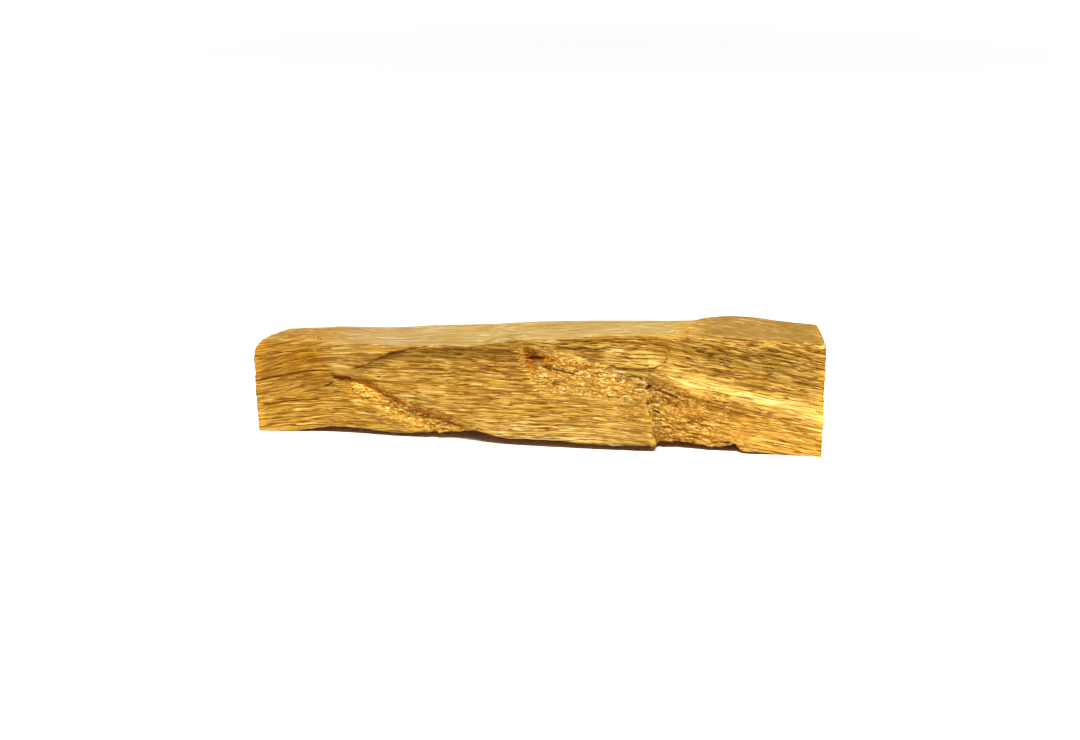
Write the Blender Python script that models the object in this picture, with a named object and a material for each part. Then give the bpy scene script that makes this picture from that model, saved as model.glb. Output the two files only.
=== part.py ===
"""A split stick of palo santo heartwood, 100 mm long, lying on its split underside.

It grew and was split as one piece, so it is one solid. Its section is a rounded polygon of six corners,
whose places change along the stick, and the front face carries the ledges, the valley and the two torn
hollows. +X runs along the stick to its thick end, -Y is the front face, +Z is up.
All sizes below are in millimetres.
"""

import bmesh
import bpy
import numpy as np

METRE = 1000.0

# The two saw cuts across the stick, and how much each rounds off at its rim.
LEFT_END = -50.1
RIGHT_END = 50.1
RIM_ROUND = 0.35
# The left cut leans in a little below this height. Above the shoulder it rounds off into the stick: how
# far, from which height and over what height, which drops towards the back from this depth.
LEFT_LEAN, LEFT_LEAN_Z = 0.2, 8.0
LEFT_SHOULDER, LEFT_SHOULDER_Z, LEFT_SHOULDER_HIGH = 8.0, 14.2, 5.6
LEFT_SHOULDER_DEPTH, LEFT_SHOULDER_DROP = 2.6, 0.325
# The right cut is broken off above this height, which drops towards the back.
RIGHT_BREAK, RIGHT_BREAK_Z = 0.7, 20.0
RIGHT_BREAK_DEPTH, RIGHT_BREAK_DROP = 6.4, 0.45
# How far into the stick the slanting of its ends reaches.
LEFT_REACH, RIGHT_REACH = 14.0, 10.0

# The front plane runs back to the left: its depth at the middle, and the change for each millimetre of x.
FRONT_Y = -6.1
FRONT_SLOPE = -0.052
# Relief fades out over this depth behind the front plane.
RELIEF_FULL, RELIEF_GONE = 1.0, 6.5

# Lines along the stick, each as (x, height) or (x, depth behind the front plane).
FRONT_FOOT_Z = (
    (-50, -0.4), (-44, -0.2), (-38, 0.9), (-30, 0.9), (-24, 0.7), (-21, 0.8), (-18.5, 1.2), (-16, 1.1),
    (-11, 1.5), (-8.5, 1.7), (-6, 1.3), (-1, 1.3), (5, 1.2), (9, 0.9), (19, 1.0), (28.5, 1.1),
    (30.6, 0.8), (33.5, 1.1), (34.6, 1.3), (36.4, 0.6), (41, 0.2), (46, -0.4), (50, -0.8),
)
TOP_EDGE_Z = (
    (-50, 16.8), (-42, 17.2), (-35, 17.1), (-24, 17.0), (-17, 17.5), (-10, 17.8), (-3, 18.9), (4, 19.5),
    (11, 20.3), (18, 20.8), (26, 20.7), (32, 20.4), (40, 20.2), (50, 20.3),
)
RIDGE_DEPTH = ((-50, 2.6), (18, 2.6), (25, 3.2), (31, 5.6), (36, 6.4), (50, 6.6))
RIDGE_Z = (
    (-50, 17.0), (-42, 17.4), (-30, 17.3), (-24, 17.2), (-17, 17.6), (-10, 17.9), (-3, 19.0), (4, 19.6),
    (11, 20.4), (18, 20.9), (24, 21.4), (28, 22.7), (32, 23.3), (36, 23.4), (42, 22.8), (50, 22.3),
)
TOP_BACK_DEPTH = ((-50, 9.6), (-20, 11.8), (20, 12.5), (50, 13.6))
TOP_BACK_Z = (
    (-50, 16.8), (-43, 17.1), (-37, 17.3), (-26, 17.4), (-18, 18.0), (-10, 18.4), (-3, 19.0), (7, 19.6),
    (18, 20.0), (26, 20.1), (34, 19.9), (42, 19.3), (50, 18.8),
)
BACK_DEPTH = ((-50, 11.7), (-20, 14.0), (20, 15.7), (50, 16.7))
BACK_Z = ((-50, 8.0), (-15, 10.0), (15, 9.0), (50, 11.0))
BACK_FOOT_DEPTH = ((-50, 9.4), (-20, 12.0), (20, 13.6), (50, 14.4))
BACK_FOOT_Z = ((-50, -0.7), (-44, 0.0), (-30, 1.5), (0, 0.9), (22, 1.6), (43, 0.0), (50, -0.8))

# Radius of the rounding at each corner, along the stick, in the order of the section.
FOOT_ROUND = ((-50, 0.5), (50, 0.5))
TOP_EDGE_ROUND = ((-50, 3.2), (-40, 4.0), (-28, 3.0), (-18, 1.0), (20, 0.9), (30, 1.6), (50, 1.4))
RIDGE_ROUND = ((-50, 1.2), (18, 1.2), (30, 2.2), (50, 2.4))
TOP_BACK_ROUND = ((-50, 1.2), (50, 1.6))
BACK_ROUND = ((-50, 2.4), (50, 3.0))

# The valley that runs down the left of the front face to the lower edge.
VALLEY = (
    (-38, 11.4), (-34.5, 10.2), (-30.2, 9.4), (-26.6, 7.6), (-21.8, 5.2), (-15, 3.0), (-12.3, 2.0),
    (-8, -0.5), (-6, -3.0), (0, -6.0),
)
VALLEY_DEPTH = ((-39, 0.0), (-35, 0.5), (-30, 0.75), (-14, 0.8), (-8, 0.9), (-5, 0.0))
BELLY_SIDE = 2.0
FACET_SIDE = 4.0
FACET_DEPTH = ((-50, 0.1), (-43, 0.6), (-36, 0.9), (-24, 0.3), (-15, 0.1), (0, 0.0))

# The belly: how far the middle of the front stands out, by height, between the valley and the step.
BELLY = ((0, 1.6), (1.5, 1.55), (5, 0.85), (10, 0.15), (14, -0.35), (17, 0.0), (23, 0.0))
BELLY_GROWS = ((-38, 0.0), (-30, 0.25), (-20, 0.55), (-8, 0.8), (-4, 1.0), (20, 1.05), (50, 1.05))

# The lip under the top edge at the left, and the scar below it.
LIP = (
    (-37, 11.4), (-31.9, 12.7), (-28.8, 13.9), (-26.4, 15.3), (-23.7, 16.4), (-21, 17.0), (-16.5, 17.5),
    (-10, 17.8), (-3, 18.9), (0, 19.2),
)
LIP_DEPTH = ((-35, 0.0), (-30, 0.45), (-20, 0.7), (-8, 0.75), (-3, 0.2), (-1, 0.0))
LIP_STEEP = ((-36, 0.8), (-22, 0.9), (-14, 2.6), (0, 3.2))
LIP_FADES, LIP_GONE = 1.0, 5.5

# The first torn hollow: its upper line, its left wall as (height, x), its depth, and how high it slopes.
TEAR_TOP = (
    (-3, 18.8), (-1, 18.5), (2, 18.0), (6.3, 17.1), (9.8, 16.2), (13, 15.1), (16, 14.2), (19, 13.9),
    (24, 13.4),
)
TEAR_WALL = ((2, 7.9), (5, 6.0), (8, 2.9), (10, 1.1), (12, -0.3), (14.5, -1.4), (18.5, -2.1), (22, -2.4))
TEAR_WALL_WIDTH = 1.3
TEAR_DEPTH = ((-3, 1.5), (3, 1.5), (8, 1.25), (13, 1.0), (19, 0.7), (22, 0.6))
TEAR_SLOPE = ((-3, 2.2), (3, 2.8), (8, 2.4), (14, 1.4), (20, 1.0))
TEAR_FLOOR = ((-3, 10.0), (2, 9.6), (8, 8.6), (14, 6.6), (20, 4.2))

# The step across the front, as (height, x), and the second torn hollow to its right.
STEP = (
    (-2, 21.2), (1, 21.2), (2.3, 20.8), (5, 20.6), (6.5, 20.4), (7.8, 20.0), (9.3, 19.9), (11.3, 19.6),
    (13.4, 19.4), (16, 19.2),
)
STEP_WIDTH = 0.8
SHOULDER = ((15, 15.4), (21, 14.4), (27, 12.4), (36, 10.2), (43, 8.4), (50, 6.9))
SHOULDER_OUT = ((15, 0.0), (21, 0.25), (30, 0.55), (42, 0.6), (50, 0.45))
SHOULDER_RISE, SHOULDER_FALL = 7.0, 1.5
HOLLOW_DEPTH = ((19, 1.05), (24, 1.0), (30, 0.7), (38, 0.3), (44, 0.1), (50, 0.05))
HOLLOW_SLOPE = 2.6

# The flake at the lower edge that ends the second hollow, as (height, x).
FLAKE = ((-2, 34.6), (1.0, 35.4), (1.8, 35.6), (2.8, 37.4), (5.0, 40.5))
FLAKE_OUT, FLAKE_WIDTH = 0.6, 0.9
FLAKE_LOW_Z, FLAKE_TOP_Z = 1.0, 4.6
FLAKE_FADES, FLAKE_GONE = 38.0, 44.0

# Pits in the front face, as (x, height, half length, half width, depth).
PITS = (
    (-34.2, 10.3, 1.5, 0.8, 0.4),
    (0.4, 16.0, 1.5, 0.6, 0.7),
    (5.2, 13.5, 3.0, 0.5, 0.5),
)

# The back face: a long torn scoop, and two flutes, as (x, height, half length, half width, depth).
BACK_SCOOPS = (
    (4.0, 7.6, 21.0, 3.4, 1.3),
    (-33.0, 11.5, 14.0, 2.0, 0.8),
    (34.0, 13.2, 13.0, 1.7, 0.7),
)
SCOOP_LEDGE_X = -14.5
SCOOP_LEDGE_WIDTH = 1.0
# The wave of the split faces: its lengths along and around the stick, how high, and the stick's girth.
WAVE_LONG, WAVE_AROUND, WAVE_HIGH = 17.0, 5.2, 0.11
SECOND_LONG, SECOND_AROUND, SECOND_PHASE = 10.4, -8.8, 1.3
GIRTH = 62.0
# The back face begins where a section faces back by this share, and is whole at the second.
BACK_BEGINS, BACK_WHOLE = 0.55, 0.85
# The wave fades between these shares of facing up, so that the top is straight.
WAVE_FADES, WAVE_GONE = 0.45, 0.75

# How finely the surface is cut: cells between corners and points on each rounding.
SIDE_CELLS = {"front": 23, "slope": 2, "top": 4, "upper back": 4, "lower back": 4, "underside": 6}
ROUND_POINTS = 3
CELL_LENGTH = 1.5
FINE_LENGTH = 0.75
FINE_STRETCHES = ((-3.6, 3.4), (18.2, 22.6), (34.2, 37.4))
CAP_RINGS = (0.72, 0.4)
# Rows of points on the front face follow these lines, and columns follow the wall and the step, which
# are given with the place along the stick where each column starts, how far it may lean and its reach.
GUIDES = (VALLEY, LIP[:-2] + TEAR_TOP[:-1] + SHOULDER[1:])
LEANING = ((TEAR_WALL, 0.0, 2.4, 3.6), (STEP, 20.2, 1.0, 3.6))


def along(points, x):
    """The smooth line through the points, read at each x and level past its ends."""
    px, pz = np.array(points, float).T
    slope = np.gradient(pz, px)
    i = np.clip(np.searchsorted(px, x) - 1, 0, len(px) - 2)
    width = px[i + 1] - px[i]
    t = np.clip((x - px[i]) / width, 0, 1)
    near = (1 + 2 * t) * (1 - t) ** 2 * pz[i] + t * (1 - t) ** 2 * width * slope[i]
    far = t * t * (3 - 2 * t) * pz[i + 1] - t * t * (1 - t) * width * slope[i + 1]
    return near + far


def step(low, high, value):
    """0 below low, 1 above high, smooth between."""
    t = np.clip((value - low) / (high - low), 0, 1)
    return t * t * (3 - 2 * t)


def pit(x, z, centre_x, centre_z, half_x, half_z, depth):
    """A rounded pit, as a depth below the face around it."""
    far = ((x - centre_x) / half_x) ** 2 + ((z - centre_z) / half_z) ** 2
    return depth * np.exp(-(far**1.5))


def valley(x, z):
    """The valley and what lies on both sides of it: the belly above, the left facet below."""
    above = z - along(VALLEY, x)
    on_belly = step(0, BELLY_SIDE, above)
    belly = along(BELLY, z) * along(BELLY_GROWS, x) * on_belly
    facet = -along(FACET_DEPTH, x) * step(0, FACET_SIDE, -above)
    floor = -along(VALLEY_DEPTH, x) * (1 - on_belly) * (1 - step(0, FACET_SIDE, -above))
    return belly + facet + floor


def lip(x, z):
    """The scar under the top edge: steep just below its lip, and gone some way down."""
    below = along(LIP, x) - z
    cut = step(0, 1, below / along(LIP_STEEP, x)) * (1 - step(LIP_FADES, LIP_GONE, below))
    return -along(LIP_DEPTH, x) * cut


def first_tear(x, z):
    """The hollow where a chip came away: a wall at the left, a slope under the top line, a rising floor."""
    below = along(TEAR_TOP, x) - z
    wall = step(0, TEAR_WALL_WIDTH, x - along(TEAR_WALL, z))
    slope_width = along(TEAR_SLOPE, x)
    rise = step(slope_width, along(TEAR_FLOOR, x), below)
    return -along(TEAR_DEPTH, x) * wall * step(0, 1, below / slope_width) * (1 - rise)


def right_face(x, z):
    """The shoulder that runs down to the right, and the second hollow below it."""
    below = along(SHOULDER, x) - z
    on_shoulder = (1 - step(0, SHOULDER_RISE, -below)) * (1 - step(0, SHOULDER_FALL, below))
    in_hollow = step(0, HOLLOW_SLOPE, below)
    past_flake = step(0, FLAKE_WIDTH, x - along(FLAKE, z)) * (1 - step(FLAKE_FADES, FLAKE_GONE, x))
    on_flake = past_flake * (1 - step(FLAKE_LOW_Z, FLAKE_TOP_Z, z))
    return along(SHOULDER_OUT, x) * on_shoulder - along(HOLLOW_DEPTH, x) * in_hollow + FLAKE_OUT * on_flake


def front_relief(x, z):
    """How far the front face stands out of its plane at a place along the stick and a height."""
    past_step = step(0, STEP_WIDTH, x - along(STEP, z))
    left = valley(x, z) + lip(x, z) + first_tear(x, z)
    relief = left * (1 - past_step) + right_face(x, z) * past_step
    return relief - sum(pit(x, z, *place) for place in PITS)


def back_relief(x, z):
    """How far the back face stands out: two flutes, and a scoop with a ledge at one end."""
    scoop, *flutes = (pit(x, z, *place) for place in BACK_SCOOPS)
    return -scoop * step(0, SCOOP_LEDGE_WIDTH, x - SCOOP_LEDGE_X) - sum(flutes)


def split_wave(x, around):
    """The low wave that runs along every split face."""
    first = np.sin(2 * np.pi * (x / WAVE_LONG + around / WAVE_AROUND))
    second = np.sin(2 * np.pi * (x / SECOND_LONG + around / SECOND_AROUND) + SECOND_PHASE)
    return WAVE_HIGH * (first + second)


def corners(x):
    """The section's six corners, clockwise from the front foot seen from the left end, with their radii."""
    depth_height_radius = (
        (np.zeros_like(x), along(FRONT_FOOT_Z, x), along(FOOT_ROUND, x)),
        (np.zeros_like(x), along(TOP_EDGE_Z, x), along(TOP_EDGE_ROUND, x)),
        (along(RIDGE_DEPTH, x), along(RIDGE_Z, x), along(RIDGE_ROUND, x)),
        (along(TOP_BACK_DEPTH, x), along(TOP_BACK_Z, x), along(TOP_BACK_ROUND, x)),
        (along(BACK_DEPTH, x), along(BACK_Z, x), along(BACK_ROUND, x)),
        (along(BACK_FOOT_DEPTH, x), along(BACK_FOOT_Z, x), along(BACK_ROUND, x)),
    )
    return [(np.stack([d, h], -1), r[:, None]) for d, h, r in depth_height_radius]


def section_rings(x):
    """The plain section at each x, as (depth, height) of each point around it."""
    turned = []
    places = corners(x)
    for k, (corner, radius) in enumerate(places):
        arms = []
        for other in (places[k - 1][0], places[(k + 1) % len(places)][0]):
            reach = other - corner
            span = np.linalg.norm(reach, axis=-1, keepdims=True)
            arms.append(corner + reach * np.minimum(radius / span, 0.45))
        turned.append((arms[0], corner, arms[1]))
    ring = []
    for k, cells in enumerate(SIDE_CELLS.values()):
        start, corner, end = turned[k]
        for t in np.linspace(0, 1, ROUND_POINTS):
            ring.append((1 - t) ** 2 * start + 2 * t * (1 - t) * corner + t * t * end)
        following = turned[(k + 1) % len(turned)][0]
        ring += [end + (following - end) * t for t in np.arange(1, cells) / cells]
    return follow_guides(x, np.stack(ring, 1))


def follow_guides(x, ring):
    """Moves the nearest row of the front face onto each guide line."""
    first, last = ROUND_POINTS, ROUND_POINTS + SIDE_CELLS["front"] - 2
    for guide in GUIDES:
        height = along(guide, x)
        nearest = np.abs(ring[:, first:last, 1] - height[:, None]).argmin(1) + first
        station = np.arange(len(x))
        beside = ring[station, nearest + 1, 1] - ring[station, nearest, 1]
        shift = height - ring[station, nearest, 1]
        ring[station, nearest, 1] += np.where(np.abs(shift) <= beside / 2, shift, 0)
    return ring


def lean(x, z):
    """How far the columns beside the wall and the step lean along the stick to follow them."""
    total = 0.0
    for line, start, most, reach in LEANING:
        shift = np.clip(along(line, z) - start, -most, most)
        total = total + shift * np.clip(1 - np.abs(x - start) / reach, 0, 1)
    return total


def end_cut(x, depth, z):
    """Moves points near each end onto its saw cut, and the cuts' upper corners back into the stick."""
    lean_in = LEFT_LEAN * np.clip(1 - z / LEFT_LEAN_Z, 0, 1) ** 2
    high = z + LEFT_SHOULDER_DROP * (depth - LEFT_SHOULDER_DEPTH)
    up = np.clip((high - LEFT_SHOULDER_Z) / LEFT_SHOULDER_HIGH, 0, 1)
    shoulder = LEFT_SHOULDER * (1 - np.sqrt(1 - up**2))
    from_top = z + RIGHT_BREAK_DROP * np.clip(depth - RIGHT_BREAK_DEPTH, 0, None)
    broken = RIGHT_BREAK * np.clip(from_top - RIGHT_BREAK_Z, 0, None)
    to_left = np.clip(1 - (x - LEFT_END) / LEFT_REACH, 0, 1)
    to_right = np.clip(1 - (RIGHT_END - x) / RIGHT_REACH, 0, 1)
    return x + (lean_in + shoulder) * to_left - broken * to_right


def stations():
    """Places along the stick, closer together where the front face has its ledges."""
    places = [LEFT_END]
    while places[-1] < RIGHT_END:
        fine = any(low <= places[-1] < high for low, high in FINE_STRETCHES)
        places.append(places[-1] + (FINE_LENGTH if fine else CELL_LENGTH))
    return LEFT_END + (np.array(places) - LEFT_END) * (RIGHT_END - LEFT_END) / (places[-1] - LEFT_END)


def surface_points():
    """Every ring of the stick's surface, from the left end to the right, as x, y, z."""
    x = stations()
    flat = section_rings(x)
    depth, height = flat[..., 0], flat[..., 1]
    along_x = np.repeat(x[:, None], flat.shape[1], 1)
    middle = np.stack([along(BACK_DEPTH, x) / 2, along(RIDGE_Z, x) / 2], -1)[:, None]
    outward = (flat - middle) / np.linalg.norm(flat - middle, axis=-1, keepdims=True)
    in_front = 1 - step(RELIEF_FULL, RELIEF_GONE, depth)
    behind = step(BACK_BEGINS, BACK_WHOLE, outward[..., 0])
    along_x = along_x + lean(along_x, height) * in_front
    around = np.linspace(0, GIRTH, flat.shape[1])
    off_top = 1 - step(WAVE_FADES, WAVE_GONE, outward[..., 1])
    wave = split_wave(along_x, around) * (1 - in_front) * off_top
    depth = depth - front_relief(along_x, height) * in_front
    depth = depth + back_relief(along_x, height) * behind + outward[..., 0] * wave
    height = height + outward[..., 1] * wave
    y = FRONT_Y + FRONT_SLOPE * along_x + depth
    z = np.maximum(height, 0)
    return round_rims(np.stack([end_cut(along_x, depth, z), y, z], -1))


def round_rims(rings):
    """Draws the first and the last ring in by the rounding of the saw cuts' rims."""
    for end in (0, -1):
        centre = rings[end][:, 1:].mean(0)
        reach = rings[end][:, 1:] - centre
        span = np.linalg.norm(reach, axis=-1, keepdims=True)
        rings[end][:, 1:] = centre + reach * (1 - RIM_ROUND / span)
        rings[end][:, 2] = np.maximum(rings[end][:, 2], RIM_ROUND)
    return rings


def cap(mesh, ring, sign):
    """Closes one end with smaller rings and a middle point, each on the saw cut."""
    points = np.array([v.co for v in ring])
    centre = points.mean(0)
    outer = ring
    for share in CAP_RINGS:
        places = centre + (points - centre) * share
        inner = [mesh.verts.new(place) for place in places]
        join(mesh, outer, inner, sign)
        outer = inner
    middle = mesh.verts.new(centre)
    for k, vert in enumerate(outer):
        corners_of_face = [vert, outer[(k + 1) % len(outer)], middle]
        mesh.faces.new(corners_of_face[::sign])


def join(mesh, first, second, sign):
    """Faces between two rings of the same number of points."""
    for k in range(len(first)):
        after = (k + 1) % len(first)
        mesh.faces.new([first[k], first[after], second[after], second[k]][::sign])


def stick_mesh():
    """The whole surface as one closed mesh."""
    mesh = bmesh.new()
    rings = [[mesh.verts.new(p) for p in ring] for ring in surface_points() / METRE]
    for first, second in zip(rings, rings[1:]):
        join(mesh, first, second, 1)
    cap(mesh, rings[0], -1)
    cap(mesh, rings[-1], 1)
    bmesh.ops.triangulate(mesh, faces=mesh.faces, quad_method="SHORT_EDGE")
    bmesh.ops.recalc_face_normals(mesh, faces=mesh.faces)
    data = bpy.data.meshes.new("palo_santo_stick")
    mesh.to_mesh(data)
    mesh.free()
    return data


def wood():
    """Golden heartwood, dull and dry."""
    material = bpy.data.materials.new("palo_santo_wood")
    material.use_nodes = True
    shader = material.node_tree.nodes["Principled BSDF"]
    shader.inputs["Base Color"].default_value = (0.60, 0.36, 0.10, 1)
    shader.inputs["Roughness"].default_value = 0.72
    shader.inputs["Metallic"].default_value = 0.0
    return material


def main():
    for left_over in list(bpy.data.objects):
        bpy.data.objects.remove(left_over)
    data = stick_mesh()
    data.materials.append(wood())
    data.shade_smooth()
    data.set_sharp_from_angle(angle=np.radians(38))
    stick = bpy.data.objects.new("palo_santo_stick", data)
    bpy.context.scene.collection.objects.link(stick)


main()
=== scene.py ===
"""Finished look of the palo santo stick: its split surface in fine mesh, torn fibres, wood and stage."""

import functools
import math

import bpy
import numpy as np
from mathutils import Matrix, Vector


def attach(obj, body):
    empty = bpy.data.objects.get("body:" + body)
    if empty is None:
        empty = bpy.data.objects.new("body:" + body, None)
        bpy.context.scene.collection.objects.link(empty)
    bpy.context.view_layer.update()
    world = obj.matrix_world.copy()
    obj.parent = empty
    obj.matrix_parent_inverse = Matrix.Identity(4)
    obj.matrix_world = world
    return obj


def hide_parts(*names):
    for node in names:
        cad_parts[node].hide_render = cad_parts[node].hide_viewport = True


bl_info = {
    "name": "Palo santo stick",
    "version": (1, 0, 0),
    "blender": (4, 5, 0),
    "location": "View3D > Sidebar > Stick",
    "description": "Builds a split palo santo stick with torn fibres on a plain studio floor",
    "category": "Add Mesh",
}

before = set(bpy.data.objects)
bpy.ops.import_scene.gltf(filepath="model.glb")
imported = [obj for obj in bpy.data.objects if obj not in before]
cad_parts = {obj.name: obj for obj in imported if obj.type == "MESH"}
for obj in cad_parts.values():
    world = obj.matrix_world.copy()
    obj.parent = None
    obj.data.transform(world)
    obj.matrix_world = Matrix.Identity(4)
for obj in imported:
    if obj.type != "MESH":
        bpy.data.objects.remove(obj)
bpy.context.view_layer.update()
NODE = "palo_santo_stick"
WOOD = "split_heartwood"
COLOURS = ("brown", "gold", "pale", "line", "crack", "crevice_shade", "end_dark", "end_pale")
METRE = 1000.0

# Form of the stick, in millimetres: the lines of the CAD solid, with the left upper corner rounder.
LEFT_END, RIGHT_END = -50.1, 50.1
LEFT_LEAN, LEFT_LEAN_Z = 0.2, 8.0
LEFT_SHOULDER, LEFT_SHOULDER_Z, LEFT_SHOULDER_HIGH = 8.0, 13.0, 6.3
LEFT_SHOULDER_DEPTH, LEFT_SHOULDER_DROP = 2.6, 0.325
RIGHT_BREAK, RIGHT_BREAK_Z = 0.7, 20.0
RIGHT_BREAK_DEPTH, RIGHT_BREAK_DROP = 6.4, 0.45
LEFT_REACH, RIGHT_REACH = 14.0, 10.0
FRONT_Y, FRONT_SLOPE = -6.1, -0.052
RELIEF_FULL, RELIEF_GONE = 1.0, 6.5
WIDEST_ROUND = 0.45

FRONT_FOOT_Z = (
    (-50, -0.4), (-44, -0.2), (-38, 0.9), (-30, 0.9), (-24, 0.7), (-21, 0.8), (-18.5, 1.2), (-16, 1.1),
    (-11, 1.5), (-8.5, 1.7), (-6, 1.3), (-1, 1.3), (5, 1.2), (9, 0.9), (19, 1.0), (28.5, 1.1),
    (30.6, 0.8), (33.5, 1.1), (34.6, 1.3), (36.4, 0.6), (41, 0.2), (46, -0.4), (50, -0.8),
)
TOP_EDGE_Z = (
    (-50, 16.8), (-42, 17.2), (-35, 17.1), (-24, 17.0), (-17, 17.5), (-10, 17.8), (-3, 18.9), (4, 19.5),
    (11, 20.3), (18, 20.8), (26, 20.7), (32, 20.4), (40, 20.2), (50, 20.3),
)
RIDGE_DEPTH = ((-50, 2.6), (18, 2.6), (25, 3.2), (31, 5.6), (36, 6.4), (50, 6.6))
RIDGE_Z = (
    (-50, 17.0), (-42, 17.4), (-30, 17.3), (-24, 17.2), (-17, 17.6), (-10, 17.9), (-3, 19.0), (4, 19.6),
    (11, 20.4), (18, 20.9), (24, 21.4), (28, 22.7), (32, 23.3), (36, 23.4), (42, 22.8), (50, 22.3),
)
TOP_BACK_DEPTH = ((-50, 9.6), (-20, 11.8), (20, 12.5), (50, 13.6))
TOP_BACK_Z = (
    (-50, 16.8), (-43, 17.1), (-37, 17.3), (-26, 17.4), (-18, 18.0), (-10, 18.4), (-3, 19.0), (7, 19.6),
    (18, 20.0), (26, 20.1), (34, 19.9), (42, 19.3), (50, 18.8),
)
BACK_DEPTH = ((-50, 11.7), (-20, 14.0), (20, 15.7), (50, 16.7))
BACK_Z = ((-50, 8.0), (-15, 10.0), (15, 9.0), (50, 11.0))
BACK_FOOT_DEPTH = ((-50, 9.4), (-20, 12.0), (20, 13.6), (50, 14.4))
BACK_FOOT_Z = ((-50, -0.7), (-44, 0.0), (-30, 1.5), (0, 0.9), (22, 1.6), (43, 0.0), (50, -0.8))
FOOT_ROUND = ((-50, 0.5), (50, 0.5))
TOP_EDGE_ROUND = ((-50, 3.2), (-40, 4.0), (-28, 3.0), (-18, 1.0), (20, 0.9), (30, 1.6), (50, 1.4))
RIDGE_ROUND = ((-50, 1.2), (18, 1.2), (30, 2.2), (50, 2.4))
TOP_BACK_ROUND = ((-50, 1.2), (50, 1.6))
BACK_ROUND = ((-50, 2.4), (50, 3.0))

VALLEY = (
    (-38, 11.4), (-34.5, 10.2), (-30.2, 9.4), (-26.6, 7.6), (-21.8, 5.2), (-15, 3.0), (-12.3, 2.0),
    (-8, -0.5), (-6, -3.0), (0, -6.0),
)
VALLEY_DEPTH = ((-39, 0.0), (-35, 0.5), (-30, 0.75), (-14, 0.8), (-8, 0.9), (-5, 0.0))
BELLY_SIDE = 2.0
FACET_SIDE = 4.0
FACET_DEPTH = ((-50, 0.1), (-43, 0.6), (-36, 0.9), (-24, 0.3), (-15, 0.1), (0, 0.0))
BELLY = ((0, 1.6), (1.5, 1.55), (5, 0.85), (10, 0.15), (14, -0.35), (17, 0.0), (23, 0.0))
BELLY_GROWS = ((-38, 0.0), (-30, 0.25), (-20, 0.55), (-8, 0.8), (-4, 1.0), (20, 1.05), (50, 1.05))
LIP = (
    (-37, 11.4), (-31.9, 12.7), (-28.8, 13.9), (-26.4, 15.3), (-23.7, 16.4), (-21, 17.0), (-16.5, 17.5),
    (-10, 17.8), (-3, 18.9), (0, 19.2),
)
LIP_DEPTH = ((-35, 0.0), (-30, 0.45), (-20, 0.7), (-8, 0.75), (-3, 0.2), (-1, 0.0))
LIP_STEEP = ((-36, 0.8), (-22, 0.9), (-14, 2.6), (0, 3.2))
LIP_FADES, LIP_GONE = 1.0, 5.5
TEAR_TOP = (
    (-3, 18.8), (-1, 18.5), (2, 18.0), (6.3, 17.1), (9.8, 16.2), (13, 15.1), (16, 14.2), (19, 13.9),
    (24, 13.4),
)
TEAR_WALL = ((2, 7.9), (5, 6.0), (8, 2.9), (10, 1.1), (12, -0.3), (14.5, -1.4), (18.5, -2.1), (22, -2.4))
TEAR_WALL_WIDTH = 1.3
TEAR_DEPTH = ((-3, 1.3), (3, 1.3), (8, 1.1), (13, 0.9), (19, 0.65), (22, 0.5))
TEAR_SLOPE = ((-3, 1.5), (3, 1.7), (8, 1.6), (14, 1.2), (20, 0.9))
TEAR_FLOOR = ((-3, 10.0), (2, 9.6), (8, 8.6), (14, 6.6), (20, 4.2))
STEP = (
    (-2, 21.2), (1, 21.2), (2.3, 20.8), (5, 20.6), (6.5, 20.4), (7.8, 20.0), (9.3, 19.9), (11.3, 19.6),
    (13.4, 19.4), (16, 19.2),
)
STEP_WIDTH = 0.8
SHOULDER = ((15, 15.4), (21, 14.4), (27, 12.4), (36, 10.2), (43, 8.4), (50, 6.9))
SHOULDER_OUT = ((15, 0.0), (21, 0.25), (30, 0.55), (42, 0.6), (50, 0.45))
SHOULDER_RISE, SHOULDER_FALL = 7.0, 1.5
HOLLOW_DEPTH = ((19, 1.05), (24, 1.0), (30, 0.7), (38, 0.3), (44, 0.1), (50, 0.05))
HOLLOW_SLOPE = 2.6
FLAKE = ((-2, 34.6), (1.0, 35.4), (1.8, 35.6), (2.8, 37.4), (5.0, 40.5))
FLAKE_OUT, FLAKE_WIDTH = 0.6, 0.9
FLAKE_LOW_Z, FLAKE_TOP_Z = 1.0, 4.6
FLAKE_FADES, FLAKE_GONE = 38.0, 44.0
PITS = (
    (-34.2, 10.3, 1.5, 0.8, 0.4),
    (0.4, 16.0, 1.5, 0.6, 0.5),
    (5.2, 13.5, 3.0, 0.5, 0.3),
)
PIT_EDGE = 1.5
BACK_SCOOPS = (
    (4.0, 7.6, 21.0, 3.4, 1.3),
    (-33.0, 11.5, 14.0, 2.0, 0.8),
    (34.0, 13.2, 13.0, 1.7, 0.7),
)
SCOOP_LEDGE_X, SCOOP_LEDGE_WIDTH = -14.5, 1.0
WAVE_LONG, WAVE_AROUND, WAVE_HIGH = 17.0, 5.2, 0.11
SECOND_LONG, SECOND_AROUND, SECOND_PHASE = 10.4, -8.8, 1.3
GIRTH = 62.0
BACK_BEGINS, BACK_WHOLE = 0.55, 0.85
WAVE_FADES, WAVE_GONE = 0.45, 0.75

# Fineness of the mesh: cells between corners, points on each rounding, and cell lengths.
SIDE_CELLS = {"front": 138, "slope": 8, "top": 48, "upper back": 22, "lower back": 22, "underside": 24}
ROUND_POINTS = (3, 26, 10, 7, 7, 7)
CELL_LENGTH, FINE_LENGTH = 0.40, 0.25
FINE_STRETCHES = ((-3.0, 3.4), (18.6, 24.0), (34.2, 36.8))
CAP_RINGS = 8
LEANING = ((TEAR_WALL, 0.0, 2.4, 3.6), (STEP, 20.2, 1.0, 3.6))

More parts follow.
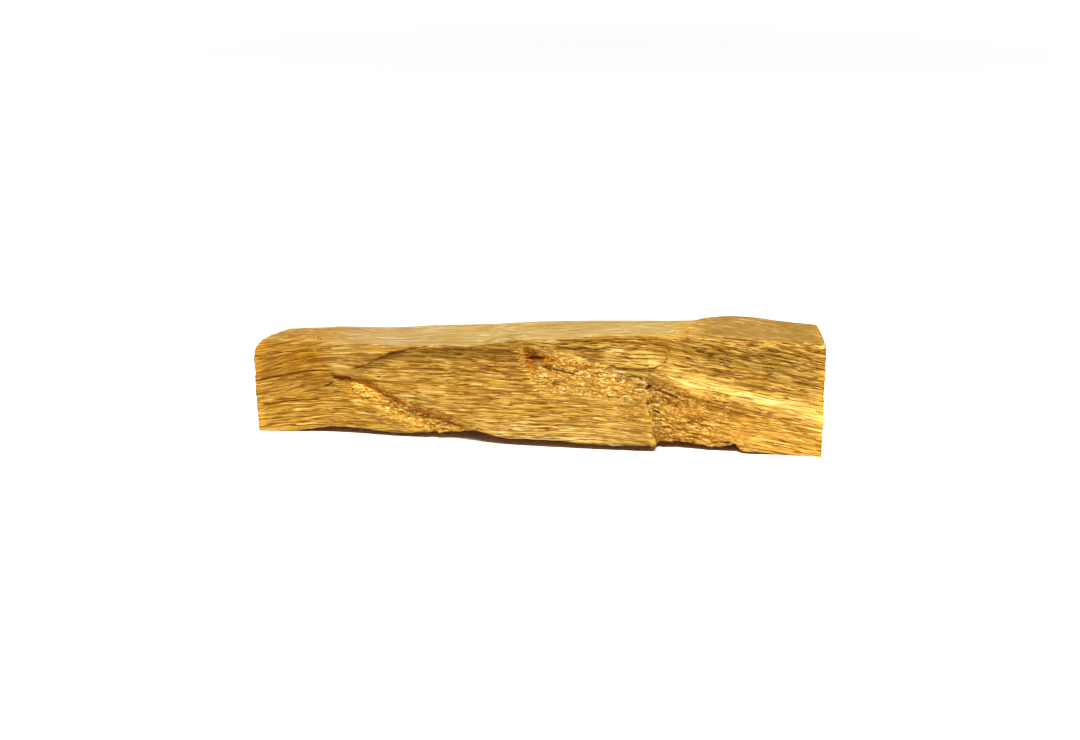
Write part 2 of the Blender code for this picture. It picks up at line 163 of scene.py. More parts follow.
# Marks are placed by the height at which they show on the front plane from 18 degrees above.
SEEN_RISE, SEEN_DEPTH = 0.325, 9.0

# Where lines of the grain run on the front face: the first row is x, then the heights of each line,
# from the grain coordinate 0 at the bottom edge upwards.
GRAIN_X = (-50, -42, -36, -30, -20, -10, 0, 10, 20, 30, 40, 50)
GRAIN_LINES = (
    (0, (-0.8, 0.0, 0.5, 0.4, 0.2, 0.3, 0.2, -0.3, -1.2, -2.2, -3.2, -4.4)),
    (4, (3.2, 4.3, 4.8, 4.5, 3.9, 3.8, 3.6, 3.4, 2.4, 1.2, -0.2, -1.8)),
    (8, (6.8, 8.4, 9.4, 8.8, 7.9, 7.6, 7.4, 7.2, 6.2, 4.6, 3.0, 1.2)),
    (11, (9.4, 11.2, 11.9, 11.2, 10.9, 10.8, 10.5, 10.3, 9.4, 7.5, 5.6, 3.8)),
    (14, (11.9, 13.7, 14.6, 14.6, 14.2, 13.8, 13.4, 13.4, 12.5, 10.8, 9.0, 7.2)),
    (17, (14.6, 16.0, 16.7, 17.2, 17.3, 17.1, 16.9, 16.9, 16.1, 14.5, 12.7, 10.9)),
    (20, (17.4, 18.4, 19.0, 19.6, 20.2, 20.3, 20.1, 20.2, 19.8, 18.4, 16.7, 15.0)),
    (24, (21.2, 22.0, 22.6, 23.2, 24.0, 24.3, 24.1, 24.2, 24.0, 22.8, 21.0, 19.2)),
)
# How the grain wanders up and inwards, as seed, length, width and reach of each wave.
WANDER = ((41, 11, 2.5, 0.15), (42, 4.5, 1.2, 0.075))
INWARD_WANDER = (43, 9, 3, 0.15)
INWARD_SHARE = 0.5

# Open cracks in the front face, each with its half width, depth and path in (x, height).
CRACKS = (
    (0.16, 0.25, ((-49.7, 9.5), (-47.4, 10.1), (-44.4, 10.8), (-41.9, 11.5), (-38.2, 12.0), (-36.4, 11.9))),
    (0.24, 0.28, ((-36.2, 11.7), (-35.6, 10.7), (-34.2, 10.8), (-32.4, 10.5))),
    (0.18, 0.45, ((-37.8, 9.0), (-36.8, 9.3), (-36.0, 10.0))),
    (0.20, 0.45, ((-32.6, 12.3), (-29.1, 13.6), (-28.2, 14.3), (-26.4, 15.0), (-25.3, 15.7), (-23.5, 16.1),
                  (-21.7, 16.7), (-19.2, 17.1))),
    (0.19, 0.12, ((-48.8, 14.1), (-45.8, 15.0), (-42.2, 15.3), (-35.8, 16.2))),
    (0.19, 0.10, ((-47.8, 12.0), (-43.2, 13.7), (-39.9, 14.4), (-38.1, 14.6))),
    (0.16, 0.20, ((-49.8, 4.7), (-46.7, 5.4), (-43.0, 6.1), (-38.4, 6.5))),
    (0.22, 0.35, ((-1.6, 15.9), (-0.6, 16.0), (0.5, 16.3), (1.8, 16.1))),
    (0.30, 0.30, ((-1.4, 15.7), (-1.1, 14.9))),
    (0.22, 0.28, ((0.9, 14.3), (2.4, 14.3), (4.2, 13.8), (6.8, 13.4))),
    (0.18, 0.30, ((2.4, 11.0), (3.5, 11.3), (5.3, 11.1))),
    (0.16, 0.35, ((-1.1, 18.7), (0.2, 18.1), (2.0, 17.5), (3.7, 16.9))),
    (0.12, 0.30, ((0.2, 18.7), (2.4, 18.6), (4.6, 18.1), (6.8, 17.7), (8.5, 18.1), (10.7, 17.8), (12.8, 18.3),
                  (15.4, 18.2))),
    (0.10, 0.20, ((6.7, 19.3), (8.5, 19.2), (11.1, 19.1))),
    (0.18, 0.35, ((12.8, 15.1), (14.0, 14.9), (14.8, 14.3), (17.6, 14.3))),
    (0.12, 0.12, ((-15.0, 13.6), (-13.0, 13.8), (-11.0, 13.9))),
    (0.11, 0.10, ((-9.1, 12.8), (-6.4, 12.6), (-2.2, 12.7))),
    (0.12, 0.12, ((-5.1, 10.9), (-2.0, 10.7), (0.6, 10.8))),
    (0.12, 0.12, ((-3.1, 9.5), (-0.7, 9.4))),
    (0.11, 0.10, ((-0.9, 7.5), (0.6, 7.5))),
    (0.11, 0.10, ((1.7, 6.8), (4.4, 6.9))),
    (0.12, 0.12, ((6.4, 5.2), (9.0, 5.6), (14.5, 5.8))),
    (0.11, 0.10, ((9.5, 4.2), (13.4, 4.8), (17.8, 5.1))),
    (0.12, 0.20, ((14.5, 8.8), (15.0, 9.7), (16.2, 10.2), (17.7, 10.1))),
    (0.26, 0.16, ((-39.5, 18.1), (-39.1, 18.0))),
    (0.22, 0.12, ((-38.6, 17.9), (-38.3, 17.9))),
    (0.22, 0.14, ((-37.3, 18.0), (-36.9, 18.0))),
    (0.16, 0.10, ((-43.9, 18.5), (-43.4, 18.6))),
    (0.16, 0.10, ((-39.0, 19.7), (-38.6, 19.8))),
    (0.14, 0.08, ((-47.1, 17.0), (-45.6, 17.8), (-44.1, 18.3))),
    (0.13, 0.10, ((29.9, 8.6), (30.7, 9.6), (33.3, 9.2), (34.1, 9.2))),
    (0.24, 0.40, ((20.0, 7.7), (21.2, 7.1), (22.1, 6.6))),
    (0.20, 0.45, ((19.6, 11.1), (20.5, 11.8))),
    (0.15, 0.30, ((21.0, 11.0), (22.5, 10.6), (24.4, 10.0), (26.0, 9.1), (27.7, 7.9))),
    (0.10, 0.18, ((29.9, 8.6), (32.0, 8.2), (34.2, 8.0))),
    (0.10, 0.18, ((29.6, 11.3), (31.7, 11.0), (34.1, 10.4))),
    (0.16, 0.25, ((14.6, 14.6), (18.9, 14.6), (21.1, 14.9), (22.6, 15.8), (23.2, 16.7), (23.4, 18.1),
                  (22.9, 18.9))),
    (0.09, 0.16, ((16.7, 17.2), (21.0, 17.4), (23.2, 17.2))),
    (0.16, 0.35, ((30.9, 1.8), (34.2, 1.9), (35.7, 1.3))),
    (0.14, 0.18, ((-33.0, 10.3), (-30.2, 9.6), (-28.4, 8.7), (-26.6, 7.9), (-24.2, 6.5))),
    (0.12, 0.14, ((-23.8, 6.4), (-21.8, 5.4), (-18.4, 4.3))),
    (0.12, 0.14, ((-17.8, 4.0), (-15, 3.2), (-12.3, 2.2))),
    (0.11, 0.16, ((19.4, 12.5), (19.5, 11.7), (19.6, 10.9))),
    (0.13, 0.20, ((19.7, 9.6), (20.0, 9.0), (20.0, 7.7))),
    (0.12, 0.16, ((20.1, 7.6), (20.4, 6.6), (20.4, 4.7))),
    (0.13, 0.12, ((32.1, 19.9), (33.9, 19.6))),
    (0.12, 0.12, ((33.1, 20.3), (34.3, 20.4))),
    (0.17, 0.16, ((33.4, 20.8), (36.7, 20.5), (38.6, 20.3))),
    (0.15, 0.16, ((34.8, 19.8), (36.0, 19.6), (37.3, 19.5))),
    (0.12, 0.12, ((34.3, 19.2), (35.4, 19.0))),
    (0.14, 0.14, ((38.2, 19.3), (41.1, 19.0), (42.8, 18.6))),
    (0.14, 0.14, ((38.6, 18.4), (40.6, 18.2), (42.8, 18.0))),
    (0.17, 0.12, ((39.1, 17.8), (39.7, 17.8))),
    (0.18, 0.14, ((42.5, 20.3), (44.2, 20.3))),
    (0.14, 0.14, ((44.7, 18.7), (46.2, 18.6), (46.3, 18.3))),
    (0.13, 0.12, ((46.2, 19.8), (47.0, 19.6))),
    (0.13, 0.12, ((42.8, 17.0), (44.7, 16.7))),
    (0.13, 0.12, ((39.8, 16.0), (41.7, 15.7))),
    (0.12, 0.10, ((30.7, 14.9), (33.5, 14.5))),
    (0.12, 0.10, ((33.1, 13.7), (36.7, 13.3))),
    (0.12, 0.10, ((39.2, 13.7), (40.4, 13.9))),
    (0.12, 0.12, ((37.8, 12.3), (40.3, 11.8), (41.9, 11.6))),
    (0.12, 0.10, ((37.1, 11.6), (38.7, 11.6))),
    (0.12, 0.10, ((43.3, 10.6), (44.4, 10.4))),
    (0.13, 0.12, ((47.2, 9.6), (49.5, 9.3))),
    (0.14, 0.14, ((26.9, 19.0), (29.3, 18.9))),
    (0.15, 0.12, ((29.9, 19.4), (32.4, 19.0))),
    (0.13, 0.12, ((28.2, 18.1), (31.3, 17.9))),
    (0.14, 0.10, ((29.6, 21.8), (32.4, 21.6))),
    (0.24, 0.14, ((26.3, 20.5), (26.9, 20.3))),
    (0.12, 0.10, ((25.1, 15.2), (27.3, 15.3))),
    (0.12, 0.10, ((24.6, 13.6), (26.3, 13.7))),
    (0.11, 0.10, ((14.1, 19.9), (18.0, 19.9), (21.2, 20.1))),
    (0.12, 0.10, ((-14.0, 11.6), (-13.2, 11.1), (-11.8, 11.4), (-9.9, 11.4))),
    (0.11, 0.08, ((-13.3, 10.4), (-11.3, 10.6))),
    (0.12, 0.10, ((-9.1, 9.0), (-7.9, 9.2), (-5.5, 9.2), (-3.5, 9.3))),
    (0.11, 0.08, ((-11.6, 6.9), (-9.4, 6.8))),
    (0.12, 0.10, ((-10.2, 16.1), (-7.0, 15.9), (-5.1, 15.8), (-3.5, 16.0))),
    (0.12, 0.10, ((-9.1, 15.5), (-7.3, 15.1), (-5.1, 14.9), (-2.8, 15.2))),
    (0.11, 0.08, ((-9.7, 13.8), (-6.2, 14.0), (-3.1, 13.7))),
    (0.12, 0.10, ((-15.9, 16.9), (-12.6, 16.9), (-10.6, 17.2))),
    (0.12, 0.08, ((-8.6, 17.0), (-5.9, 16.9), (-3.9, 16.8))),
    (0.11, 0.08, ((0.1, 8.9), (1.9, 8.9))),
)

# The floor, in metres: it lies a hair under the stick, is lit from within far off, and curves up at its rim.
FLOOR_GAP = 0.00002
FLOOR_GLOW_FROM, FLOOR_GLOW_FULL = 0.3, 1.1
FLOOR_RADIUS, FLOOR_CURVE, FLOOR_SIDES = 1.9, 0.55, 64

# The tongue of sound wood over the first hollow.
TONGUE_END_X, TONGUE_MID_Z, TONGUE_HALF = 21.2, 16.8, 2.3
TONGUE_OUT, TONGUE_EDGE, TONGUE_BEGINS, TONGUE_SIDE = 0.20, 0.35, 8.0, 0.8

# Lines, shares and blots of the front face's colours: the highlight band is a painted highlight along the
# shoulder, and the shade line and the blots of the pit are painted shade. A blot is its middle, its half
# sizes and its power.
HIGHLIGHT_BAND = ((19.4, 14.2), (27.2, 12.5), (35.8, 10.9), (42.7, 9.2), (50.3, 7.5))
SHADE_LINE = (
    (20.0, 13.3), (23.3, 11.9), (26.6, 10.3), (32.0, 7.8), (36.4, 6.6), (40.7, 5.9), (49.3, 4.3),
)
HIGHLIGHT_HALF, SHADE_HALF = 1.9, 0.6
BLOTS = {
    "crumbs": (17.6, 7.6, 3.2, 2.6, 4),
    "pit": (0.1, 16.0, 1.9, 0.8),
    "beside the pit": (2.0, 14.8, 2.0, 0.7),
}
NOTCH, SLANT, SLANT_FROM, MOST, LEFT_TOP_LOSS = (21.3, 19.0, 3.0, 0.9), 0.12, 30, 0.8, 0.6
CRUMBS_SHARE, STEP_RIM_SHARE, UPPER_LEFT_SHARE, OVER_TEAR_SHARE = 0.7, 0.7, 0.45, 0.6
CHECKED_LEAST, CHECKED_BAND_LOSS = 0.22, 0.6

# Zones of the surface: what is multiplied, and a span of each measure, in millimetres. A span is 0 at its
# first number and 1 at its second, and a longer one is 1 up to its third and 0 from its fourth.
FACET_SPAN = (-36, -31, -14, -10)
ZONES = {
    "up": ((), {"facing up": (0.6, 0.9), "z": (12, 14)}),
    "underside": ((), {"facing up": (-0.88, -0.96), "z": (6, 4), "from end": (0.3, 3)}),
    "tear slope": (("in tear", "before step"), {"slope": (0, 0.15, 0.75, 1)}),
    "tear floor": (("in tear", "before step", "front"), {"slope": (0.9, 1), "rise": (1, 0.86)}),
    "hollow": (("after step", "front"), {"under shoulder": (1.2, 2.6), "x": (42, 26)}),
    "torn facet": (("front",), {"under valley": (-0.7, 0.3, 2.0, 4.5), "x": FACET_SPAN}),
    "valley side": (("front",), {"under valley": (-1.6, -0.2, -0.1, 0.5), "x": FACET_SPAN}),
    "crumbs": (("crumbs", "before step", "front"), {}),
    "yellow band": (("yellow band", "front"), {"x": (19, 27)}),
    "tongue": (("front",), {"across tongue": (1.1, 0.6), "x": (10, 14, 22, 24)}),
    "wall": (("front",), {"past wall": (-0.3, 0.1, 1.0, 1.7), "slope": (0.3, 1), "rise": (0.9, 0.2)}),
    "wall rim": (("front",), {
        "past wall": (-0.9, -0.5, -0.1, 0.2), "under tear": (0.1, 0.5), "z": (7.9, 8.6)}),
    "step rim": (("front",), {"past step": (-0.7, -0.3, 0.1, 0.4), "z": (1, 2, 11.5, 13)}),
    "low right": (("front",), {"x": (21, 26), "under shoulder": (-0.5, 1.5)}),
    "upper right": ((), {"x": (23, 28), "slanted z": (12.5, 15.5)}),
    "upper left": ((), {"x": (-26, -18, -3, 0), "z": (10, 12)}),
    "over tear": ((), {"x": (-2, 2, 20, 24), "under tear": (0, -0.8)}),
}
# Tints: what the colour of the wood is multiplied by in each place, and the place, given like a zone. Those
# that paint light or shade say so above them.
TINTS = {
    "olive shade": ((0.72, 0.68, 0.52), ("front", "patchy"), {
        "under edge": (-0.6, 0.6, 2.5, 6.5), "x": (-37, -28, -3, 0)}),
    "left end": ((0.80, 0.58, 0.12), ("front", "patchy", "less on top"), {"x": (-34, -40), "z": (7, 12)}),
    "left foot": ((1.05, 0.98, 0.80), ("front",), {"x": (-28, -34), "z": (11, 7)}),
    # Painted sheen on the rounded upper left corner, which faces up and out.
    "painted sheen on left roll": ((0.77, 0.80, 1.12), (), {"x": (-28, -34), "z": (15, 17)}),
    "checked corner": ((0.88, 0.89, 0.82), ("front", "patchy"), {
        "x": (24, 30, 46, 49), "slanted z": (12, 15)}),
    # Painted highlight: the band along the shoulder that faces up is lightened and paled.
    "yellow band": ((1.85, 2.15, 3.1), ("yellow band",), {}),
    # Painted light: the tongue, the lower belly towards its bottom edge and the lower right are lightened
    # where the lamp leaves them darker.
    "tongue": ((1.35, 1.5, 1.9), ("tongue",), {"x": (22.4, 21.4)}),
    "foot": ((1.22, 1.36, 2.1), ("front",), {"z": (6, 0.5), "x": (-14, -6, 17, 20)}),
    "low right": ((1.42, 1.30, 1.20), ("low right",), {}),
    # Torn wood is paler, and these tints also lighten the facet below the valley, the floor of the first
    # hollow and the second hollow as painted light.
    "torn facet": ((1.62, 1.62, 1.5), ("torn facet",), {}),
    "tear floor": ((1.10, 1.20, 1.55), ("tear floor",), {}),
    "hollow": ((1.26, 1.32, 1.45), ("hollow", "not low right"), {}),
    # Painted shade on the side of the valley that faces down.
    "valley side": ((0.72, 0.38, 0.06), ("valley side", "mottled"), {}),
    "shade line": ((0.85, 0.78, 0.58), ("front", "shade line"), {"x": (19.5, 21, 28, 44)}),
    # Painted shade: the underside is darker and redder, which also browns the shadow under the stick.
    "underside": ((0.70, 0.40, 0.16), ("underside",), {}),
    # Painted light: the slope under the tear's top line, the edge below it and the ledge are lightened where
    # the overhang shades them.
    "tear slope": ((1.36, 1.62, 2.30), ("tear slope",), {}),
    "lit edge": ((1.30, 1.34, 1.4), ("front",), {
        "z": (12, 13), "under tear": (0.2, 1), "x": (-0.5, 1, 14, 19)}),
    "ledge": ((1.50, 1.38, 1.15), ("front",), {"under tear": (1.0, 1.7, 3.0, 4.4), "x": (1, 2.5, 13, 17)}),
    # Painted shade in the pit and beside it, darker and redder.
    "pit": ((0.80, 0.42, 0.15), ("front", "pit"), {}),
    "beside the pit": ((0.92, 0.66, 0.30), ("front", "beside the pit"), {}),
    "notch": ((0.68, 0.60, 0.25), ("notch",), {}),
    "wall": ((1.1, 0.9, 0.6), ("wall",), {}),
    # Painted shade in the upper corner where the tear wall meets its top line.
    "wall corner shade": ((0.75, 0.48, 0.25), ("front",), {
        "past wall": (0, 0.4, 0.5, 2.5), "z": (14, 15.5), "under tear": (-0.6, 0)}),
    "rim": ((1.5, 1.6, 1.9), ("rim", "most"), {}),
    "ends": ((1.42, 1.30, 0.95), ("most",), {"from end": (1.6, 0.2)}),
    # Painted sheen on the faces that look up: paler and bluer, more so at the left, and darker at the right.
    "top": ((0.80, 0.98, 2.0), ("up",), {"x": (-38, -26, 20, 30)}),
    "painted sheen top left": ((1.0, 1.02, 1.30), ("up",), {"x": (-38, -28, -24, -10)}),
    "painted sheen top right": ((0.58, 0.61, 0.88), ("up",), {"x": (24, 32)}),
}
# Patches and mottles of a tint, as seed, length, height and reach, and their mean.
PATCHES, PATCH_SHARE = (51, 7, 1.6, 0.35), 0.75
MOTTLES, MOTTLE_SHARE, MOTTLE_LEAST = (54, 1.3, 0.5, 0.6), 0.85, 0.2

# Roughness pressed into the form. Each strand is seed, length, width and height, in millimetres.
RAGGED_EDGE, RAGGED_BELOW, RAGGED_DEPTH = ((31, 5, 0.12), (32, 1.6, 0.11), (33, 0.7, 0.06)), (0, 3), (1, 4)
WALL_JAGS = ((61, 0.9, 0.15), (62, 0.35, 0.08))
STEP_JAGS = ((63, 0.9, 0.21), (64, 0.35, 0.112))
COARSE_STRANDS = ((1, 26, 2.4, 0.09), (2, 13, 1.1, 0.03))
FINE_STRANDS = ((3, 8, 0.5, 0.025), (4, 5, 0.3, 0.02))
# Each kind of fissure: seed, length and width of its lines, the lines' rise, the same of what breaks the
# lines, and its weight.
FISSURES = (
    ((5, 11, 1.2), (0.91, 0.99), (6, 9, 2.0), (-0.2, 0.4), 1.0),
    ((10, 6, 0.7), (0.87, 0.98), (11, 6, 1.4), (0.0, 0.5), 0.8),
)
FISSURE_DEPTH, FISSURE_DARK = 0.10, 0.15
CHUNKS, CHUNKS_SUNK = ((7, (1.2, 0.6, 0.7), 0.42), (8, (0.6, 0.34, 0.4), 0.30)), 0.20
SMOOTH_TOP_BEGINS, SMOOTH_TOP_LOSS = (-44, -36), 0.6
CALM_TOP, CALM_TOP_LESS, CALM_TOP_FADES = 0.9, 0.25, (20, 30)
CALM_BAND, CALM_TONGUE = 0.6, 0.5
TORN_STRANDS, SLOPE_SMOOTH, FULL_CREST = 0.5, 0.7, 0.30
CRACK_EDGE, CRACK_MARGIN, CRACK_END, CRACK_BODY = (0.3, 1.25), 1, 0.25, 0.75
CRACK_JITTER, CRACK_WANDER = (9, 0.8, 0.5, 0.5), (13, 0.7, 0.4, 0.45)
SAW_MARKS, SAW_FADES = ((21, 0.5, 0.45, 0.10), (22, 1.6, 1.1, 0.12)), (0, 1.6)
CAP_NOISE, CAP_STRIPE, CAP_SLANT, CAP_PITCH, CAP_SUNK = (23, 0.9, 0.5, 0.10), 0.07, 0.15, 0.85, 0.12

# Small drying checks: fields as (x from, x to, height from, height to) and how many, and their sizes.
CHECK_FIELDS = (
    ((26, 49, 16.0, 20.5), 130),
    ((-22, -3, 11.5, 17.0), 90),
    ((0, 22, 15.5, 19.5), 40),
    ((24, 46, 10.0, 16.0), 50),
    ((-48, -12, 1.0, 9.0), 60),
    ((-10, 19, 1.5, 12.0), 80),
    ((22, 48, 1.5, 8.0), 60),
)
CHECK_SEED, CHECK_HALF_LENGTH, CHECK_HALF_WIDTH, CHECK_STRENGTH = 77, (0.4, 1.9), (0.05, 0.10), (0.5, 1.0)
CHECK_EDGE, CHECK_MARK, OFF_FRONT = (0.3, 1.3), 0.2, 50

# Loose fibres: ranges of their length and half width in millimetres and of their rise and bend.
FIBRE_SEED, FIBRE_STATIONS, FIBRE_SUNK, FIBRE_LOWEST = 5, 5, 0.05, 0.02
FIBRE_LENGTH, FIBRE_WIDTH, FIBRE_RISE, FIBRE_BEND = (0.5, 1.9), (0.05, 0.12), (0.02, 0.30), (-0.2, 0.2)
FIBRE_THICKNESS, FIBRE_POINTED, FIBRE_CURL = 0.6, 0.9, 1.6
FIBRE_ON_EDGES, FIBRE_ON_TORN, FIBRE_ABOVE, FIBRE_MARGIN = 2.0, 0.5, 0.6, 2
FIBRE_KINDS, FIBRE_KIND_SHIFT = 17, 0.7
FIBRE_PALE = (1.15, 1.18, 1.25)

# What each point of the surface tells the wood's colours: the value of the points that close the ends, and
# of the loose fibres.
END_VALUES = {"tint": 1.0, "tone": 0.5, "dark": 0.0, "torn": 0.0, "calm": 0.0, "checked": 0.0, "cut": 1.0}
FIBRE_VALUES = {"tone": 0.7, "dark": 0.0, "torn": 0.0, "calm": 0.0, "checked": 0.0, "cut": 0.0}
VALUE_KINDS = {"grain": ("FLOAT_VECTOR", "vector"), "tint": ("FLOAT_COLOR", "color")}

# Noises of the wood: cells per millimetre along the grain, across it and inwards, detail and roughness.
NOISES = {
    "broad": ((0.035, 0.45, 0.45), 2.0, 0.55),
    "thread": ((0.20, 2.9, 2.9), 1.0, 0.5),
    "silk": ((0.045, 1.9, 3.4), 2.0, 0.6),
    "strand": ((0.10, 2.0, 2.0), 2.0, 0.6),
    "fibre": ((0.30, 4.2, 4.2), 2.0, 0.6),
    "hair": ((0.5, 7.0, 7.0), 1.0, 0.6),
    "grit": ((1.8, 3.6, 3.6), 2.0, 0.6),
    "dust": ((2.6, 6.0, 6.0), 2.0, 0.6),
    "wobble": ((0.25, 1.0, 1.0), 1.0, 0.55),
    "bend": ((0.06, 0.7, 0.7), 2.0, 0.55),
    "shiver": ((0.35, 2.0, 2.0), 1.0, 0.55),
    "patch": ((0.12, 0.5, 0.5), 1.0, 0.55),
    "uneven": ((0.0, 0.35, 0.7), 2.0, 0.55),
    "pores": ((0.0, 4.5, 9.0), 1.0, 0.55),
    "rays": ((0.0, 1.2, 9.0), 2.0, 0.55),
}
# Weights of the noises in the lightness of sound wood, of quiet wood and of torn wood.
SOUND = {"strand": 0.4, "thread": 0.9, "fibre": 1.3, "hair": 1.2, "dust": 0.4}
QUIET = {"silk": 1.5, "fibre": 0.5}
LOOSE = {"grit": 1.9, "hair": 0.8, "dust": 1.0}
# Weight of the broad noise, and of the painted light and shade that follow the relief, lighter on crests and
# darker in hollows, more on torn wood.
BROAD_WEIGHT, RELIEF_SHADE_WEIGHT, TORN_RELIEF_SHADE_WEIGHT = 0.35, 0.3, 0.5

# Fine dark lines of the wood: spacing, width, length of an unbroken run, shift and weight.
FINE_LINES = (
    (0.62, 0.24, 3.6, 0.0, 1.0), (0.43, 0.17, 2.4, 0.37, 0.75), (1.15, 0.28, 6.0, 0.71, 1.0),
    (0.81, 0.21, 4.4, 0.13, 1.0),
)
LINE_INWARDS, LINE_BEND, LINE_SHIVER, LINE_UNBROKEN = 1.6, 2.5, 0.5, (0.44, 0.54)
LINE_TORN_LOSS, LINE_CALM_LOSS, LINE_SHARE = 0.6, 0.65, 0.85
# Strokes of drying checks: length and width of the cells that hold one each, and half width.
STROKES = ((7.0, 0.62, 0.17), (12.0, 0.85, 0.15), (4.4, 0.70, 0.17))
STROKE_CORE, STROKE_INWARDS, STROKE_WOBBLE, STROKE_SHOWN = 0.35, 0.8, 0.8, (0.25, 0.55)
# Crevices and gaps between the crumbs of torn wood, whose dark colour is painted shade: their cells, noise,
# edge, patches and share.
CREVICE_CELLS, CREVICE_GRIT, CREVICE_EDGE, CREVICE_SHARE = (0.9, 1.9, 1.9), 0.4, (0.15, 0.0), 0.7
GAP_CELLS, GAP_DUST, GAP_EDGE, GAP_PATCH, GAP_SHARE = (0.34, 0.9, 0.9), 0.3, (0.12, 0.0), (0.45, 0.6), 0.8
# Lightness at which the wood is darkest, of its common colour and lightest, and where the halves join.
DARKEST, COMMON, LIGHTEST, JOIN = 0.0, 0.42, 1.0, (0.38, 0.46)
# Low places of the relief are warmed and darkened by the deep shade tint: painted shade in the hollows.
DEEP, DEEP_SHARE, DEEP_SHADE_TINT, SPLIT_SHARE = (0.5, 0.1), 0.8, (0.95, 0.72, 0.42), 0.92
DARK_EDGE, DARK_SHARE = (0.25, 0.95), 0.85
# The saw cuts: the pith in doubled grain coordinates inwards and across, the two sets of rings as pitch,
# unevenness and weight, and the pores and rays.
PITH_INWARDS, PITH_ACROSS = 12.0, -22.0
RINGS = ((9.0, 7.0, 0.07), (2.1, 3.0, 0.10))
END_LIGHT, END_UNEVEN, END_PORES, END_RAYS, END_SPAN = 0.52, 0.5, 0.35, 0.5, (0.1, 0.9)
PORE_EDGE = (0.60, 0.70)
ROUGH, ROUGH_HAIR, ROUGH_TORN, ROUGH_SPAN, SHEEN = 0.62, 0.25, 0.12, (0.3, 0.95), 0.05
BUMPS = {"hair": 0.4, "fibre": 0.6, "torn grit": 0.6, "lines": -0.6, "checks": -0.9, "crevices": -0.8}
BUMP_STRENGTH, BUMP_DISTANCE = 0.6, 0.0002

# The stage, in metres and degrees.
FLOOR_ROUGH, FLOOR_GLOW_LOW, FLOOR_GLOW_LOSS = 0.9, 0.3, 0.85
FLOOR_RINGS, FLOOR_CURVE_STATIONS = (0.3, 1.0), 9
LAMP_PLACE, LAMP_AIM, LAMP_SIZE = (0.0, -0.30, 0.90), (0, 0, 0.01), (0.8, 0.24)
AZIMUTH, ELEVATION, TARGET = 4.7, 18.0, (0.0009, -0.0039, 0.013)
SENSOR, CLIP = 36.0, (0.01, 20.0)

def along(points, x):
    """The smooth line through the points, read at each x and level past its ends."""
    px, pz = np.array(points, float).T
    slope = np.gradient(pz, px)
    i = np.clip(np.searchsorted(px, x) - 1, 0, len(px) - 2)
    width = px[i + 1] - px[i]
    t = np.clip((x - px[i]) / width, 0, 1)
    near = (1 + 2 * t) * (1 - t) ** 2 * pz[i] + t * (1 - t) ** 2 * width * slope[i]
    far = t * t * (3 - 2 * t) * pz[i + 1] - t * t * (1 - t) * width * slope[i + 1]
    return near + far


def step(low, high, value):
    """0 below low, 1 above high, smooth between."""
    t = np.clip((value - low) / (high - low), 0, 1)
    return t * t * (3 - 2 * t)


def fall(low, high, value):
    """1 below low, 0 above high, smooth between."""
    return 1 - step(low, high, value)


def pit(x, z, centre_x, centre_z, half_x, half_z, depth):
    """A rounded pit, as a depth below the face around it."""
    far = ((x - centre_x) / half_x) ** 2 + ((z - centre_z) / half_z) ** 2
    return depth * np.exp(-(far**PIT_EDGE))


def noise(seed, u, v, w):
    """Smooth noise from -1 to 1 over three coordinates, each counted in cells."""
    table = np.random.default_rng(seed).uniform(-1, 1, 4096)
    cells, parts = [], []
    for c in np.broadcast_arrays(u, v, w):
        whole = np.floor(c)
        t = c - whole
        cells.append(whole.astype(np.int64))
        parts.append(t * t * (3 - 2 * t))
    total = 0.0
    for corner in np.ndindex(2, 2, 2):
        weight, key = 1.0, 0
        for c, t, high, prime in zip(cells, parts, corner, (73856093, 19349663, 83492791)):
            weight = weight * (t if high else 1 - t)
            key = key ^ ((c + high) * prime)
        total = total + weight * table[(key ^ (key >> 13)) & 4095]
    return total


def strands(seed, grain, length, width):
    """Noise drawn out along the grain, for strands of this length and width in millimetres."""
    return noise(seed, grain[..., 0] / length, grain[..., 1] / width, grain[..., 2] / width)


def jagged(layers, place):
    """A jagged line's run about its smooth course, from layers of seed, length and reach."""
    return sum(reach * noise(seed, place / long, 0, 0) for seed, long, reach in layers)


def layered(layers, grain):
    """Strands of several sizes added up, from layers of seed, length, width and height."""
    return sum(high * strands(seed, grain, long, wide) for seed, long, wide, high in layers)


def within(span, value):
    """1 inside a span and 0 outside it: 0 at its first number, 1 at its second, and so back."""
    inside = step(*span[:2], value)
    return inside * fall(*span[2:], value) if span[2:] else inside


def amount(parts, factors, spans):
    """How much each point is in a zone: the zone's factors and its spans, multiplied."""
    total = 1.0
    for name in factors:
        total = total * parts[name]
    for name, span in spans.items():
        total = total * within(span, parts[name])
    return total


def beside(line, half, x, z):
    """1 on a line of the front face, falling off to 0 on both its sides."""
    return np.exp(-(((z - along(line, x)) / half) ** 2))


def swing(wave, x, z):
    """Noise over a face, from a wave's seed, length, height and reach."""
    seed, long, high, reach = wave
    return reach * noise(seed, x / long, z / high, 0)


def blot(x, z, centre_x, centre_z, half_x, half_z, power=2):
    """1 at a place on the front face, falling off to 0 around it."""
    return np.exp(-(((x - centre_x) / half_x) ** power) - ((z - centre_z) / half_z) ** power)


def valley(x, z):
    """The valley and what lies on both sides of it: the belly above, the left facet below."""
    above = z - along(VALLEY, x)
    on_belly = step(0, BELLY_SIDE, above)
    belly = along(BELLY, z) * along(BELLY_GROWS, x) * on_belly
    facet = -along(FACET_DEPTH, x) * step(0, FACET_SIDE, -above)
    floor = -along(VALLEY_DEPTH, x) * (1 - on_belly) * fall(0, FACET_SIDE, -above)
    return belly + facet + floor


